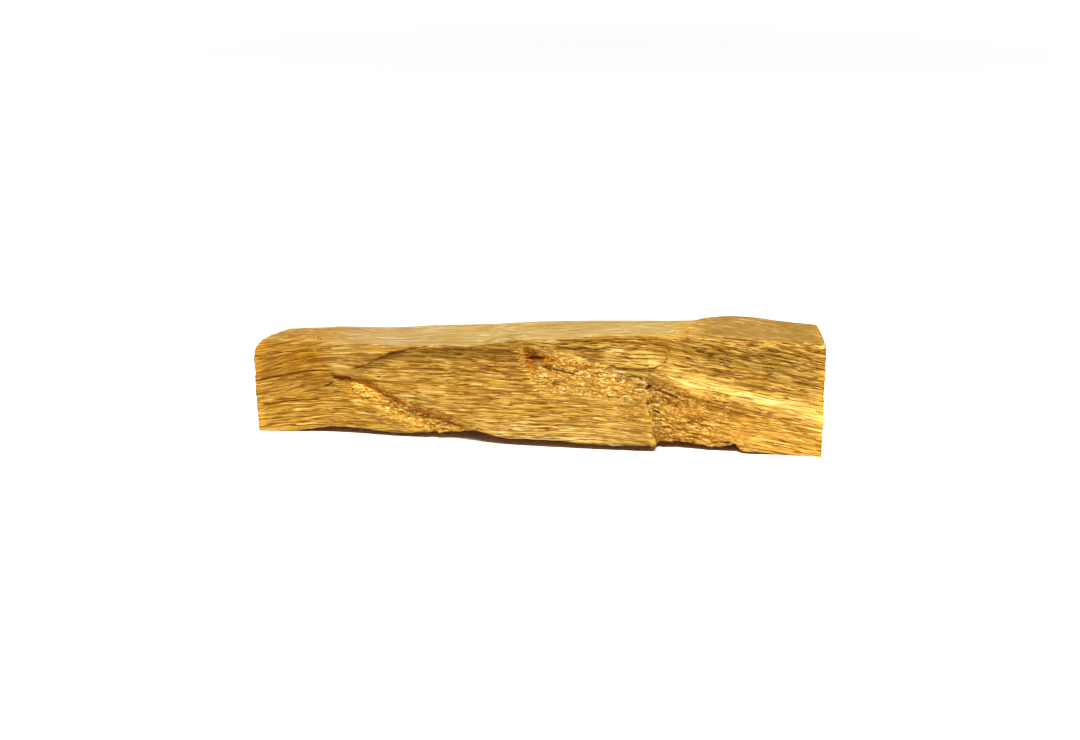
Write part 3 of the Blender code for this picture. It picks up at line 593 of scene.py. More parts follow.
def lip(x, z):
    """The scar under the top edge: steep just below its lip, and gone some way down."""
    below = along(LIP, x) - z
    cut = step(0, 1, below / along(LIP_STEEP, x)) * fall(LIP_FADES, LIP_GONE, below)
    return -along(LIP_DEPTH, x) * cut


def tear_parts(x, z):
    """How far a place is past the wall, down the slope and up the rising floor of the first hollow."""
    below = along(TEAR_TOP, x) - z
    wall = step(0, TEAR_WALL_WIDTH, x - along(TEAR_WALL, z) - jagged(WALL_JAGS, z))
    slope_width = along(TEAR_SLOPE, x)
    rise = step(slope_width, along(TEAR_FLOOR, x), below)
    return wall, step(0, 1, below / slope_width), rise


def first_tear(x, z):
    """The hollow where a chip came away: a wall at the left, a slope under the top line, a rising floor."""
    wall, slope, rise = tear_parts(x, z)
    return -along(TEAR_DEPTH, x) * wall * slope * (1 - rise)


def tongue(x, z):
    """The sound wood that stands over the first hollow and ends in a round nail shape."""
    across = np.abs(z - TONGUE_MID_Z) / TONGUE_HALF
    end = TONGUE_END_X + TONGUE_HALF * np.sqrt(np.clip(1 - across**2, 0, 1))
    inside = fall(end - TONGUE_EDGE, end, x) * (across < 1)
    return TONGUE_OUT * inside * step(TONGUE_BEGINS, TONGUE_END_X, x) * fall(TONGUE_SIDE, 1, across)


def right_face(x, z):
    """The shoulder that runs down to the right, and the second hollow below it."""
    below = along(SHOULDER, x) - z
    on_shoulder = fall(0, SHOULDER_RISE, -below) * fall(0, SHOULDER_FALL, below)
    in_hollow = step(0, HOLLOW_SLOPE, below)
    past_flake = step(0, FLAKE_WIDTH, x - along(FLAKE, z)) * fall(FLAKE_FADES, FLAKE_GONE, x)
    on_flake = past_flake * fall(FLAKE_LOW_Z, FLAKE_TOP_Z, z)
    return along(SHOULDER_OUT, x) * on_shoulder - along(HOLLOW_DEPTH, x) * in_hollow + FLAKE_OUT * on_flake


def front_relief(x, z):
    """How far the front face stands out of its plane at a place along the stick and a height."""
    past_step = step(0, STEP_WIDTH, x - along(STEP, z) - jagged(STEP_JAGS, z))
    left = valley(x, z) + lip(x, z) + first_tear(x, z)
    relief = left * (1 - past_step) + right_face(x, z) * past_step + tongue(x, z)
    return relief - sum(pit(x, z, *place) for place in PITS)


def back_relief(x, z):
    """How far the back face stands out: two flutes, and a scoop with a ledge at one end."""
    scoop, *flutes = (pit(x, z, *place) for place in BACK_SCOOPS)
    return -scoop * step(0, SCOOP_LEDGE_WIDTH, x - SCOOP_LEDGE_X) - sum(flutes)


def split_wave(x, around):
    """The low wave that runs along every split face."""
    first = np.sin(2 * np.pi * (x / WAVE_LONG + around / WAVE_AROUND))
    second = np.sin(2 * np.pi * (x / SECOND_LONG + around / SECOND_AROUND) + SECOND_PHASE)
    return WAVE_HIGH * (first + second)


def corners(x):
    """The section's six corners, clockwise from the front foot seen from the left end, with their radii."""
    depth_height_radius = (
        (np.zeros_like(x), along(FRONT_FOOT_Z, x), along(FOOT_ROUND, x)),
        (np.zeros_like(x), along(TOP_EDGE_Z, x), along(TOP_EDGE_ROUND, x)),
        (along(RIDGE_DEPTH, x), along(RIDGE_Z, x), along(RIDGE_ROUND, x)),
        (along(TOP_BACK_DEPTH, x), along(TOP_BACK_Z, x), along(TOP_BACK_ROUND, x)),
        (along(BACK_DEPTH, x), along(BACK_Z, x), along(BACK_ROUND, x)),
        (along(BACK_FOOT_DEPTH, x), along(BACK_FOOT_Z, x), along(BACK_ROUND, x)),
    )
    return [(np.stack([d, h], -1), r[:, None]) for d, h, r in depth_height_radius]


def section_rings(x):
    """The plain section at each x, as (depth, height) of each point around it."""
    turned = []
    places = corners(x)
    for k, (corner, radius) in enumerate(places):
        arms = []
        for other in (places[k - 1][0], places[(k + 1) % len(places)][0]):
            reach = other - corner
            span = np.linalg.norm(reach, axis=-1, keepdims=True)
            arms.append(corner + reach * np.minimum(radius / span, WIDEST_ROUND))
        turned.append((arms[0], corner, arms[1]))
    ring = []
    for k, cells in enumerate(SIDE_CELLS.values()):
        start, corner, end = turned[k]
        for t in np.linspace(0, 1, ROUND_POINTS[k]):
            ring.append((1 - t) ** 2 * start + 2 * t * (1 - t) * corner + t * t * end)
        following = turned[(k + 1) % len(turned)][0]
        ring += [end + (following - end) * t for t in np.arange(1, cells) / cells]
    return np.stack(ring, 1)


def lean(x, z):
    """How far the columns beside the wall and the step lean along the stick to follow them."""
    total = 0.0
    for line, start, most, reach in LEANING:
        shift = np.clip(along(line, z) - start, -most, most)
        total = total + shift * np.clip(1 - np.abs(x - start) / reach, 0, 1)
    return total


def end_cut(x, depth, z):
    """Moves points near each end onto its saw cut, and the cuts' upper corners back into the stick."""
    lean_in = LEFT_LEAN * np.clip(1 - z / LEFT_LEAN_Z, 0, 1) ** 2
    high = z + LEFT_SHOULDER_DROP * (depth - LEFT_SHOULDER_DEPTH)
    up = np.clip((high - LEFT_SHOULDER_Z) / LEFT_SHOULDER_HIGH, 0, 1)
    shoulder = LEFT_SHOULDER * (1 - np.sqrt(1 - up**2))
    from_top = z + RIGHT_BREAK_DROP * np.clip(depth - RIGHT_BREAK_DEPTH, 0, None)
    broken = RIGHT_BREAK * np.clip(from_top - RIGHT_BREAK_Z, 0, None)
    to_left = np.clip(1 - (x - LEFT_END) / LEFT_REACH, 0, 1)
    to_right = np.clip(1 - (RIGHT_END - x) / RIGHT_REACH, 0, 1)
    return x + (lean_in + shoulder) * to_left - broken * to_right


def stations():
    """Places along the stick, closer together where the front face has its ledges."""
    places = [LEFT_END]
    while places[-1] < RIGHT_END:
        fine = any(low <= places[-1] < high for low, high in FINE_STRETCHES)
        places.append(places[-1] + (FINE_LENGTH if fine else CELL_LENGTH))
    return LEFT_END + (np.array(places) - LEFT_END) * (RIGHT_END - LEFT_END) / (places[-1] - LEFT_END)


def grain_of(points):
    """The grain coordinates of points in the wood: along it, across it upwards, and across it inwards."""
    x, y, z = points[..., 0], points[..., 1], points[..., 2]
    values = np.array([value for value, _ in GRAIN_LINES], float)
    heights = np.stack([along(list(zip(GRAIN_X, line)), x) for _, line in GRAIN_LINES], -1)
    k = np.clip((z[..., None] > heights).sum(-1) - 1, 0, len(values) - 2)
    low = np.take_along_axis(heights, k[..., None], -1)[..., 0]
    high = np.take_along_axis(heights, k[..., None] + 1, -1)[..., 0]
    across = values[k] + (values[k + 1] - values[k]) * (z - low) / (high - low)
    wander = sum(share * noise(seed, x / long, across / wide, y / wide) for seed, long, wide, share in WANDER)
    seed, long, wide, share = INWARD_WANDER
    inwards = INWARD_SHARE * (y + share * noise(seed, x / long, across / wide, y / wide))
    return np.stack([x, across + wander, inwards], -1)


def to_path(x, z, path):
    """Distance from places on the front face to a path, and how far along it the nearest point is."""
    best, share = np.full(x.shape, 1e9), np.zeros(x.shape)
    pieces = len(path) - 1
    for k, ((x0, z0), (x1, z1)) in enumerate(zip(path, path[1:])):
        dx, dz = x1 - x0, z1 - z0
        t = np.clip(((x - x0) * dx + (z - z0) * dz) / (dx * dx + dz * dz), 0, 1)
        far = np.hypot(x - x0 - t * dx, z - z0 - t * dz)
        nearer = far < best
        best = np.where(nearer, far, best)
        share = np.where(nearer, (k + t) / pieces, share)
    return best, share


def outward_normals(points):
    """Unit normals of a grid of points in rings, out of the stick."""
    forward = np.gradient(points, axis=0)
    around = np.roll(points, -1, 1) - np.roll(points, 1, 1)
    normal = np.cross(forward, around)
    return normal / np.maximum(np.linalg.norm(normal, axis=-1, keepdims=True), 1e-9)


class StickSurface:
    """The points of the stick's surface in rings, with what the wood's colours need at each point."""

    def __init__(self, check_depth):
        self.check_depth = check_depth
        self.lay_out()
        self.find_zones()
        self.roughen()
        self.colour()
        self.cut = np.zeros_like(self.tone)

    def lay_out(self):
        """The smooth form, with the ledges and hollows of the front and back faces."""
        stations_x = stations()
        flat = section_rings(stations_x)
        depth, height = flat[..., 0], flat[..., 1]
        x = np.repeat(stations_x[:, None], flat.shape[1], 1)
        middle = np.stack([along(BACK_DEPTH, stations_x) / 2, along(RIDGE_Z, stations_x) / 2], -1)[:, None]
        outward = (flat - middle) / np.linalg.norm(flat - middle, axis=-1, keepdims=True)
        self.in_front = fall(RELIEF_FULL, RELIEF_GONE, depth)
        behind = step(BACK_BEGINS, BACK_WHOLE, outward[..., 0])
        x = x + lean(x, height) * self.in_front
        around = np.linspace(0, GIRTH, flat.shape[1])
        off_top = fall(WAVE_FADES, WAVE_GONE, outward[..., 1])
        wave = split_wave(x, around) * (1 - self.in_front) * off_top
        low = fall(*RAGGED_BELOW, height) * fall(*RAGGED_DEPTH, depth)
        depth = depth - front_relief(x, height) * self.in_front
        depth = depth + back_relief(x, height) * behind + outward[..., 0] * wave
        height = height + outward[..., 1] * wave + jagged(RAGGED_EDGE, x) * low
        self.x, self.height = x, height
        self.seen = height + SEEN_RISE * depth
        self.marked = (self.in_front > 0.5) | ((outward[..., 1] > 0.5) & (depth < SEEN_DEPTH))
        z = np.maximum(height, 0)
        self.points = np.stack([end_cut(x, depth, z), FRONT_Y + FRONT_SLOPE * x + depth, z], -1)
        self.from_end = np.minimum(x - LEFT_END, RIGHT_END - x)

    def find_zones(self):
        """The measures of each point, and how much it is in each zone and each place of its own colour, some
        of which are painted light or shade.
        """
        x, z = self.x, self.height
        in_tear, slope, rise = tear_parts(x, z)
        before_step = fall(0, STEP_WIDTH, x - along(STEP, z))
        parts = {
            "x": x, "z": z, "from end": self.from_end, "facing up": outward_normals(self.points)[..., 2],
            "front": self.in_front, "slanted z": z + SLANT * (x - SLANT_FROM), "most": MOST,
            "in tear": in_tear, "slope": slope, "rise": rise,
            "before step": before_step, "after step": 1 - before_step,
            "across tongue": np.abs(z - TONGUE_MID_Z) / TONGUE_HALF,
            "yellow band": beside(HIGHLIGHT_BAND, HIGHLIGHT_HALF, x, z),
            "shade line": beside(SHADE_LINE, SHADE_HALF, x, z),
            "notch": blot(x, self.seen, *NOTCH),
            "patchy": PATCH_SHARE + swing(PATCHES, x, z),
            "mottled": np.clip(MOTTLE_SHARE + swing(MOTTLES, x, z), MOTTLE_LEAST, 1),
        }
        for name, line in (("wall", TEAR_WALL), ("step", STEP)):
            parts["past " + name] = x - along(line, z)
        lines = {"tear": TEAR_TOP, "valley": VALLEY, "shoulder": SHOULDER, "edge": TOP_EDGE_Z}
        for name, line in lines.items():
            parts["under " + name] = along(line, x) - z
        for name, place in BLOTS.items():
            parts[name] = blot(x, z, *place)
        for name, row in ZONES.items():
            parts[name] = amount(parts, *row)
        parts["less on top"] = 1 - LEFT_TOP_LOSS * parts["up"]
        parts["not low right"] = 1 - parts["low right"]
        parts["rim"] = parts["wall rim"] + STEP_RIM_SHARE * parts["step rim"]
        torn = parts["tear floor"] + parts["hollow"] + parts["torn facet"] + CRUMBS_SHARE * parts["crumbs"]
        self.torn = np.clip(torn, 0, 1)
        self.parts, self.up = parts, parts["up"]

    def roughen(self):
        """Strands, fissures, torn fibres and cracks, pressed into the smooth form."""
        grain = grain_of(self.points)
        self.grain = grain
        normals = outward_normals(self.points)
        smooth_top = self.up * step(*SMOOTH_TOP_BEGINS, self.x)
        coarse = layered(COARSE_STRANDS, grain) * (1 - SMOOTH_TOP_LOSS * smooth_top)
        fine = layered(FINE_STRANDS, grain)
        fissure = 0.0
        for (seed, long, wide), edge, (breaks, long_break, wide_break), broken, weight in FISSURES:
            lines = step(*edge, 1 - np.abs(strands(seed, grain, long, wide)))
            lines = lines * step(*broken, strands(breaks, grain, long_break, wide_break))
            fissure = np.maximum(fissure, weight * lines)
        calm_top = smooth_top * (CALM_TOP - CALM_TOP_LESS * step(*CALM_TOP_FADES, self.x))
        calm = calm_top + CALM_BAND * self.parts["yellow band"] + CALM_TONGUE * self.parts["tongue"]
        self.calm = np.clip(calm, 0, 1)
        self.fissure = fissure * (1 - self.calm)
        sound = coarse + fine * (1 - SMOOTH_TOP_LOSS * smooth_top) - FISSURE_DEPTH * self.fissure
        torn = TORN_STRANDS * (coarse + fine) - CHUNKS_SUNK
        for seed, cell, high in CHUNKS:
            torn = torn + high * np.abs(noise(seed, *np.moveaxis(grain / cell, -1, 0)))
        lift = sound * (1 - self.torn) * (1 - SLOPE_SMOOTH * self.parts["tear slope"]) + torn * self.torn
        self.mark = np.zeros_like(self.x)
        push = np.zeros_like(self.x)
        for half, deep, path in CRACKS:
            near, inside, taper = self.crack(half, path)
            push[near] = np.maximum(push[near], deep * inside * taper)
            self.mark[near] = np.maximum(self.mark[near], inside)
        checks = self.checks()
        self.mark = np.maximum(self.mark, CHECK_MARK * checks)
        self.lift = lift - np.maximum(push, self.check_depth * checks)
        pressed = (self.lift * step(0, 0.5, self.points[..., 2]))[..., None]
        points = self.points + normals * pressed
        saw = sum(swing(wave, points[..., 1], points[..., 2]) for wave in SAW_MARKS)
        points[..., 0] += saw * fall(*SAW_FADES, self.from_end)
        points[..., 2] = np.maximum(points[..., 2], 0)
        self.points = points

    def crack(self, half, path):
        """The points near one crack, how far each is inside it, and how it narrows to its ends."""
        px, pz = np.array(path).T
        near = (self.x > px.min() - CRACK_MARGIN) & (self.x < px.max() + CRACK_MARGIN) & self.marked
        near &= (self.seen > pz.min() - CRACK_MARGIN) & (self.seen < pz.max() + CRACK_MARGIN)
        x, seen = self.x[near], self.seen[near]
        far, share = to_path(x, seen, path)
        taper = np.sqrt(np.clip(4 * share * (1 - share), 0, 1)) * CRACK_BODY + CRACK_END
        far = far + half * swing(CRACK_WANDER, x, seen)
        inside = fall(*CRACK_EDGE, far / (half * taper * (1 + swing(CRACK_JITTER, x, seen))))
        return near, inside, taper

    def checks(self):
        """Short drying checks scattered over the front face, most of them near the upper right."""
        rng = np.random.default_rng(CHECK_SEED)
        u, v = self.grain[..., 0], self.grain[..., 1]
        total = 0.0
        for (x0, x1, z0, z1), count in CHECK_FIELDS:
            for _ in range(count):
                x, z = rng.uniform(x0, x1), rng.uniform(z0, z1)
                half_u, half_v = rng.uniform(*CHECK_HALF_LENGTH), rng.uniform(*CHECK_HALF_WIDTH)
                here = np.argmin((self.x - x) ** 2 + (self.height - z) ** 2 + OFF_FRONT * (1 - self.in_front))
                far = ((u - u.flat[here]) / half_u) ** 2 + ((v - v.flat[here]) / half_v) ** 2
                spot = fall(*CHECK_EDGE, far) * (self.in_front > 0.3)
                total = np.maximum(total, spot * rng.uniform(*CHECK_STRENGTH))
        return total

    def colour(self):
        """A colour factor from the tints, painted light and shade among them, a lightness that paints light
        on the relief's crests and shade in its hollows, and the dark marks at each point.
        """
        parts = self.parts
        self.tint = np.ones(self.x.shape + (3,))
        for factor, *place in TINTS.values():
            share = np.clip(amount(parts, *place), 0, 1)[..., None]
            self.tint = self.tint * (1 - share) + self.tint * np.array(factor) * share
        # Painted light and shade from the relief: lighter where the surface stands out, darker where it is
        # pressed in.
        self.tone = 0.5 + 0.5 * np.clip(self.lift / FULL_CREST, -1, 1)
        # Dark marks of cracks and fissures, which take the crack colour and its painted shade.
        self.dark = np.clip(self.mark + FISSURE_DARK * self.fissure, 0, 1)
        checked = np.maximum(parts["upper right"], UPPER_LEFT_SHARE * parts["upper left"])
        checked = np.maximum(np.maximum(checked, OVER_TEAR_SHARE * parts["over tear"]), CHECKED_LEAST)
        checked = checked * (1 - CHECKED_BAND_LOSS * parts["yellow band"])
        self.checked = checked * self.in_front * (1 - self.up)


def loose_fibres(surface, count):
    """Slivers of wood that stand off the torn places: their points, and the row and column of each's foot."""
    rng = np.random.default_rng(FIBRE_SEED)
    edge = np.clip(surface.parts["rim"] + surface.parts["wall"], 0, 1) * FIBRE_ON_EDGES
    wanted = (edge + FIBRE_ON_TORN * surface.torn) * (surface.in_front > 0.5)
    wanted = (wanted * (surface.points[..., 2] > FIBRE_ABOVE))[FIBRE_MARGIN:-FIBRE_MARGIN]
    spots = rng.choice(wanted.size, count, replace=False, p=wanted.ravel() / wanted.sum())
    row, column = np.unravel_index(spots, wanted.shape)
    row = row + FIBRE_MARGIN
    base = surface.points[row, column]
    normal = outward_normals(surface.points)[row, column]
    before, after = row - FIBRE_MARGIN, row + FIBRE_MARGIN
    run = surface.points[after, column] - surface.points[before, column]
    run[:, 2] -= surface.grain[after, column, 1] - surface.grain[before, column, 1]
    run *= rng.choice((-1, 1), count)[:, None] / np.linalg.norm(run, axis=-1, keepdims=True)
    side = np.cross(run, normal)
    ranges = (FIBRE_LENGTH, FIBRE_WIDTH, FIBRE_RISE, FIBRE_BEND)
    length, width, rise, bend = (rng.uniform(*limits, count)[:, None, None] for limits in ranges)
    t = np.linspace(0, 1, FIBRE_STATIONS)[None, :, None]
    spine = base[:, None] + run[:, None] * length * t
    spine = spine + normal[:, None] * (rise * length * t**FIBRE_CURL - FIBRE_SUNK)
    spine = spine + side[:, None] * bend * length * t**2
    taper = width * (1 - FIBRE_POINTED * t)
    corner = np.array([(-1, 0), (0, -FIBRE_THICKNESS), (1, 0), (0, FIBRE_THICKNESS)])
    spread = side[:, None, None] * corner[:, :1] + normal[:, None, None] * corner[:, 1:]
    points = spine[:, :, None] + taper[..., None] * spread
    points[..., 2] = np.maximum(points[..., 2], FIBRE_LOWEST)
    return points, row, column


def fibre_mesh(surface, wanted):
    """The loose fibres as one mesh, coloured like the wood they stand on."""
    points, row, column = loose_fibres(surface, wanted)
    count, stations_each, sides = points.shape[:3]
    each = stations_each * sides
    starts = np.arange(count) * each
    quads = []
    for k in range(stations_each - 1):
        for j in range(sides):
            low, after = k * sides + j, k * sides + (j + 1) % sides
            quads.append(starts[:, None] + np.array([low, low + sides, after + sides, after]))
    first = np.arange(sides)
    quads += [starts[:, None] + first, starts[:, None] + each - sides + first[::-1]]
    flat = points.reshape(-1, 3)
    mesh = bpy.data.meshes.new("torn_fibres")
    mesh.from_pydata((flat / METRE).tolist(), [], np.concatenate(quads).tolist())
    grain = grain_of(flat)
    grain[:, 1] += np.repeat(np.arange(count) % FIBRE_KINDS, each) * FIBRE_KIND_SHIFT
    put_values(mesh, "grain", grain)
    put_values(mesh, "tint", np.repeat(surface.tint[row, column] * FIBRE_PALE, each, 0))
    for name, value in FIBRE_VALUES.items():
        put_values(mesh, name, np.full(len(flat), value))
    return mesh


def put_values(mesh, name, values):
    """Stores one value, vector or colour for each point of a mesh."""
    values = np.asarray(values, np.float32)
    if name == "tint":
        values = np.concatenate([values, np.ones((len(values), 1), np.float32)], -1)
    kind, field = VALUE_KINDS.get(name, ("FLOAT", "value"))
    mesh.attributes.new(name, kind, "POINT").data.foreach_set(field, values.ravel())


def plain_cut(points, end):
    """Where the saw cut at one end lies at the depth and height of each point."""
    depth = points[:, 1] - FRONT_Y - FRONT_SLOPE * end
    return end_cut(np.full(len(points), end), depth, points[:, 2])


def cap_points(ring, sign):
    """Rings of points that close one end, drawn in towards its middle, and roughened like a saw cut."""
    end = LEFT_END if sign < 0 else RIGHT_END
    centre = ring.mean(0)
    shares = np.linspace(1, 0, CAP_RINGS + 1)[1:-1]
    rings = centre + (ring - centre) * shares[:, None, None]
    rows = np.concatenate([rings.reshape(-1, 3), centre[None]])
    uneven = (shares[:, None] * (ring[:, 0] - plain_cut(ring, end))).ravel()
    rows[:, 0] = plain_cut(rows, end) + np.append(uneven, 0.0)
    y, z = rows[:, 1], rows[:, 2]
    stripes = CAP_STRIPE * np.sin(2 * np.pi * (z + CAP_SLANT * y) / CAP_PITCH)
    rows[:, 0] += sign * (swing(CAP_NOISE, y, z) + stripes - CAP_SUNK)
    return rows


def ring_faces(first, second, count):
    """Quads between two rings that start at these point numbers."""
    k = np.arange(count)
    after = (k + 1) % count
    return np.stack([first + k, first + after, second + after, second + k], -1)


def stick_mesh(surface):
    """The stick's closed mesh, and the surface values of each of its points."""
    rings, count = surface.points.shape[:2]
    body = surface.points.reshape(-1, 3)
    quads = [ring_faces((r + 1) * count, r * count, count) for r in range(rings - 1)]
    extra, fans = [], []
    total = len(body)
    for end, sign in ((0, -1), (rings - 1, 1)):
        cap = cap_points(surface.points[end], sign)
        extra.append(cap)
        starts = [end * count] + [total + r * count for r in range(CAP_RINGS - 1)]
        for first, second in zip(starts, starts[1:]):
            quads.append(ring_faces(first, second, count)[:, ::-sign])
        middle = total + len(cap) - 1
        k = np.arange(count)
        fan = [starts[-1] + k, starts[-1] + (k + 1) % count, np.full(count, middle)]
        fans.append(np.stack(fan, -1)[:, ::-sign])
        total += len(cap)
    points = np.concatenate([body, *extra])
    faces = np.concatenate(quads).tolist() + np.concatenate(fans).tolist()
    mesh = bpy.data.meshes.new("stick")
    mesh.from_pydata((points / METRE).tolist(), [], faces)
    mesh.shade_smooth()
    put_values(mesh, "grain", grain_of(points))
    for name, at_ends in END_VALUES.items():
        values = getattr(surface, name).reshape(len(body), *getattr(surface, name).shape[2:])
        closing = np.full((len(points) - len(body), *values.shape[1:]), at_ends)
        put_values(mesh, name, np.concatenate([values, closing]))
    return mesh


class Value:
    """A number or a colour that varies over a surface: a shader socket that Python arithmetic works on."""

    def __init__(self, graph, socket):
        self.graph, self.socket = graph, socket

    def math(self, operation, *others):
        return self.graph.node("ShaderNodeMath", {"operation": operation}, [self, *others])

    def __add__(self, other):
        return self.math("ADD", other)

    def __sub__(self, other):
        return self.math("SUBTRACT", other)

    def __rsub__(self, other):
        return self.graph.node("ShaderNodeMath", {"operation": "SUBTRACT"}, [other, self])

    def __mul__(self, other):
        return self.math("MULTIPLY", other)

    __radd__, __rmul__ = __add__, __mul__

    def clamp(self, low=0.0, high=1.0):
        return self.math("MAXIMUM", low).math("MINIMUM", high)

    def between(self, low, high):
        """0 where the value is at low, 1 at high, smooth between."""
        wanted = {"interpolation_type": "SMOOTHSTEP"}
        return self.graph.node("ShaderNodeMapRange", wanted, [self, low, high, 0.0, 1.0])


class Graph:
    """The node tree of one material."""

    def __init__(self, material):
        material.use_nodes = True
        self.tree = material.node_tree
        self.shader = self.tree.nodes["Principled BSDF"]

    def put(self, socket, value):
        if isinstance(value, Value):
            self.tree.links.new(value.socket, socket)
        else:
            socket.default_value = value

    def node(self, kind, settings=None, values=(), output=0):
        """Adds a node with its settings, then its inputs by number or name, and gives one output."""
        made = self.tree.nodes.new(kind)
        for name, value in (settings or {}).items():
            setattr(made, name, value)
        items = values.items() if isinstance(values, dict) else enumerate(values)
        for name, value in items:
            self.put(made.inputs[name], value)
        return Value(self, made.outputs[output])

    def attribute(self, name, output="Fac"):
        return self.node("ShaderNodeAttribute", {"attribute_name": name}, output=output)

    def scaled(self, vector, by):
        return self.node("ShaderNodeVectorMath", {"operation": "MULTIPLY"}, [vector, by])

    def noise(self, vector, by, detail=2.0, rough=0.55):
        """Noise over a vector scaled on each axis."""
        values = {"Vector": self.scaled(vector, by), "Scale": 1.0, "Detail": detail, "Roughness": rough}
        return self.node("ShaderNodeTexNoise", {"noise_dimensions": "3D"}, values)

    def axis(self, vector, which):
        """One of the three numbers of a vector."""
        return self.node("ShaderNodeSeparateXYZ", values=[vector], output=which)

    def cracks(self, grain, by):
        """Distance to the nearest edge between cells scaled on each axis."""
        values = {"Vector": self.scaled(grain, by), "Scale": 1.0}
        return self.node("ShaderNodeTexVoronoi", {"feature": "DISTANCE_TO_EDGE"}, values)

    def strokes(self, flow, long, wide, half):
        """Short strokes along the grain, at most one in each cell of this length and width."""
        values = {"Vector": self.scaled(flow, (1 / long, 1 / wide, 0.0)), "Scale": 1.0}
        spots = self.node("ShaderNodeTexVoronoi", {"voronoi_dimensions": "2D"}, values)
        return spots.between(half, half * STROKE_CORE)

    def mix(self, share, first, second, how="MIX"):
        """Two colours mixed by a share."""
        made = self.tree.nodes.new("ShaderNodeMix")
        made.data_type, made.blend_type = "RGBA", how
        inputs = {socket.identifier: socket for socket in made.inputs}
        self.put(inputs["Factor_Float"], share)
        for name, value in (("A_Color", first), ("B_Color", second)):
            self.put(inputs[name], value if isinstance(value, Value) else (*value, 1.0))
        return Value(self, next(s for s in made.outputs if s.identifier == "Result_Color"))


def weighted(noises, weights):
    """Noises about zero, added up by their weights."""
    return sum((noises[name] - 0.5) * weight for name, weight in weights.items())


def split_colour(graph, grain, noises, places, colours):
    """The colour of the split faces, with painted light and shade from the tints and the relief, and the dark
    things in it: its lines, its checks, and its crevices, dark with painted shade.
    """
    v, w = places
    names = ("tone", "dark", "torn", "calm", "checked")
    tone, dark, torn, calm, checked = (graph.attribute(name) for name in names)
    whole = weighted(noises, SOUND) * (1 - calm) + weighted(noises, QUIET) * calm
    varied = whole * (1 - torn) + weighted(noises, LOOSE) * torn
    # The relief's painted light and shade, stronger on torn wood.
    relief_shaded = (tone - 0.5) * (RELIEF_SHADE_WEIGHT + torn * TORN_RELIEF_SHADE_WEIGHT)
    light = (0.5 + (noises["broad"] - 0.5) * BROAD_WEIGHT + varied + relief_shaded).clamp()
    bent = (noises["bend"] - 0.5) * LINE_BEND + (noises["shiver"] - 0.5) * LINE_SHIVER
    place = v + w * LINE_INWARDS + bent
    lines = 0.0
    for spacing, width, length, shift, weight in FINE_LINES:
        side = ((place * (1 / spacing) + shift).math("FRACT") - 0.5).math("ABSOLUTE") * spacing
        broken = graph.noise(grain, (1 / length, 1 / spacing, 1 / spacing), 0.0)
        line = side.between(width / 2, width / 5) * broken.between(*LINE_UNBROKEN) * weight
        lines = line.math("MAXIMUM", lines)
    lines = lines * (1 - torn * LINE_TORN_LOSS) * (1 - calm * LINE_CALM_LOSS)
    across = v + w * STROKE_INWARDS + (noises["wobble"] - 0.5) * STROKE_WOBBLE
    flow = graph.node("ShaderNodeCombineXYZ", values={"X": graph.axis(grain, 0), "Y": across})
    strokes = 0.0
    for row in STROKES:
        strokes = graph.strokes(flow, *row).math("MAXIMUM", strokes)
    checks = strokes * (checked + (noises["patch"] - 0.5)).between(*STROKE_SHOWN)
    # Crevices and gaps between crumbs of torn wood, darkened as painted shade.
    far = graph.cracks(grain, CREVICE_CELLS) + (noises["grit"] - 0.5) * CREVICE_GRIT
    crevices = far.between(*CREVICE_EDGE) * torn
    far = graph.cracks(grain, GAP_CELLS) + (noises["dust"] - 0.5) * GAP_DUST
    gaps = far.between(*GAP_EDGE) * noises["patch"].between(*GAP_PATCH) * torn
    low = graph.mix(light.between(DARKEST, COMMON), colours["brown"], colours["gold"])
    high = graph.mix(light.between(COMMON, LIGHTEST), colours["gold"], colours["pale"])
    colour = graph.mix(light.between(*JOIN), low, high)
    # The tints, painted light and shade among them.
    colour = graph.mix(1.0, colour, graph.attribute("tint", "Color"), "MULTIPLY")
    # Painted shade in the low places of the relief, warm and dark.
    deep = graph.mix(tone.between(*DEEP) * DEEP_SHARE, (1.0, 1.0, 1.0), DEEP_SHADE_TINT)
    colour = graph.mix(1.0, colour, deep, "MULTIPLY")
    colour = graph.mix(lines * LINE_SHARE, colour, colours["line"])
    colour = graph.mix(crevices * CREVICE_SHARE, colour, colours["crevice_shade"])
    colour = graph.mix(checks.math("MAXIMUM", gaps * GAP_SHARE) * SPLIT_SHARE, colour, colours["crack"])
    colour = graph.mix(dark.between(*DARK_EDGE) * DARK_SHARE, colour, colours["crack"])
    return colour, lines, checks, crevices


def end_colour(graph, noises, places, colours):
    """The colour of the saw cuts: rings round a pith outside the stick, pores and rays."""
    v, w = places
    uneven = noises["uneven"] - 0.5
    square = (w * 2.0 - PITH_INWARDS).math("POWER", 2.0) + (v - PITH_ACROSS).math("POWER", 2.0)
    pith = square.math("SQRT")
    light = END_LIGHT + uneven * END_UNEVEN - noises["pores"].between(*PORE_EDGE) * END_PORES
    for pitch, unevenness, weight in RINGS:
        light = light + (pith * pitch + uneven * unevenness).math("SINE") * weight
    light = (light + (noises["rays"] - 0.5) * END_RAYS).clamp()
    return graph.mix(light.between(*END_SPAN), colours["end_dark"], colours["end_pale"])


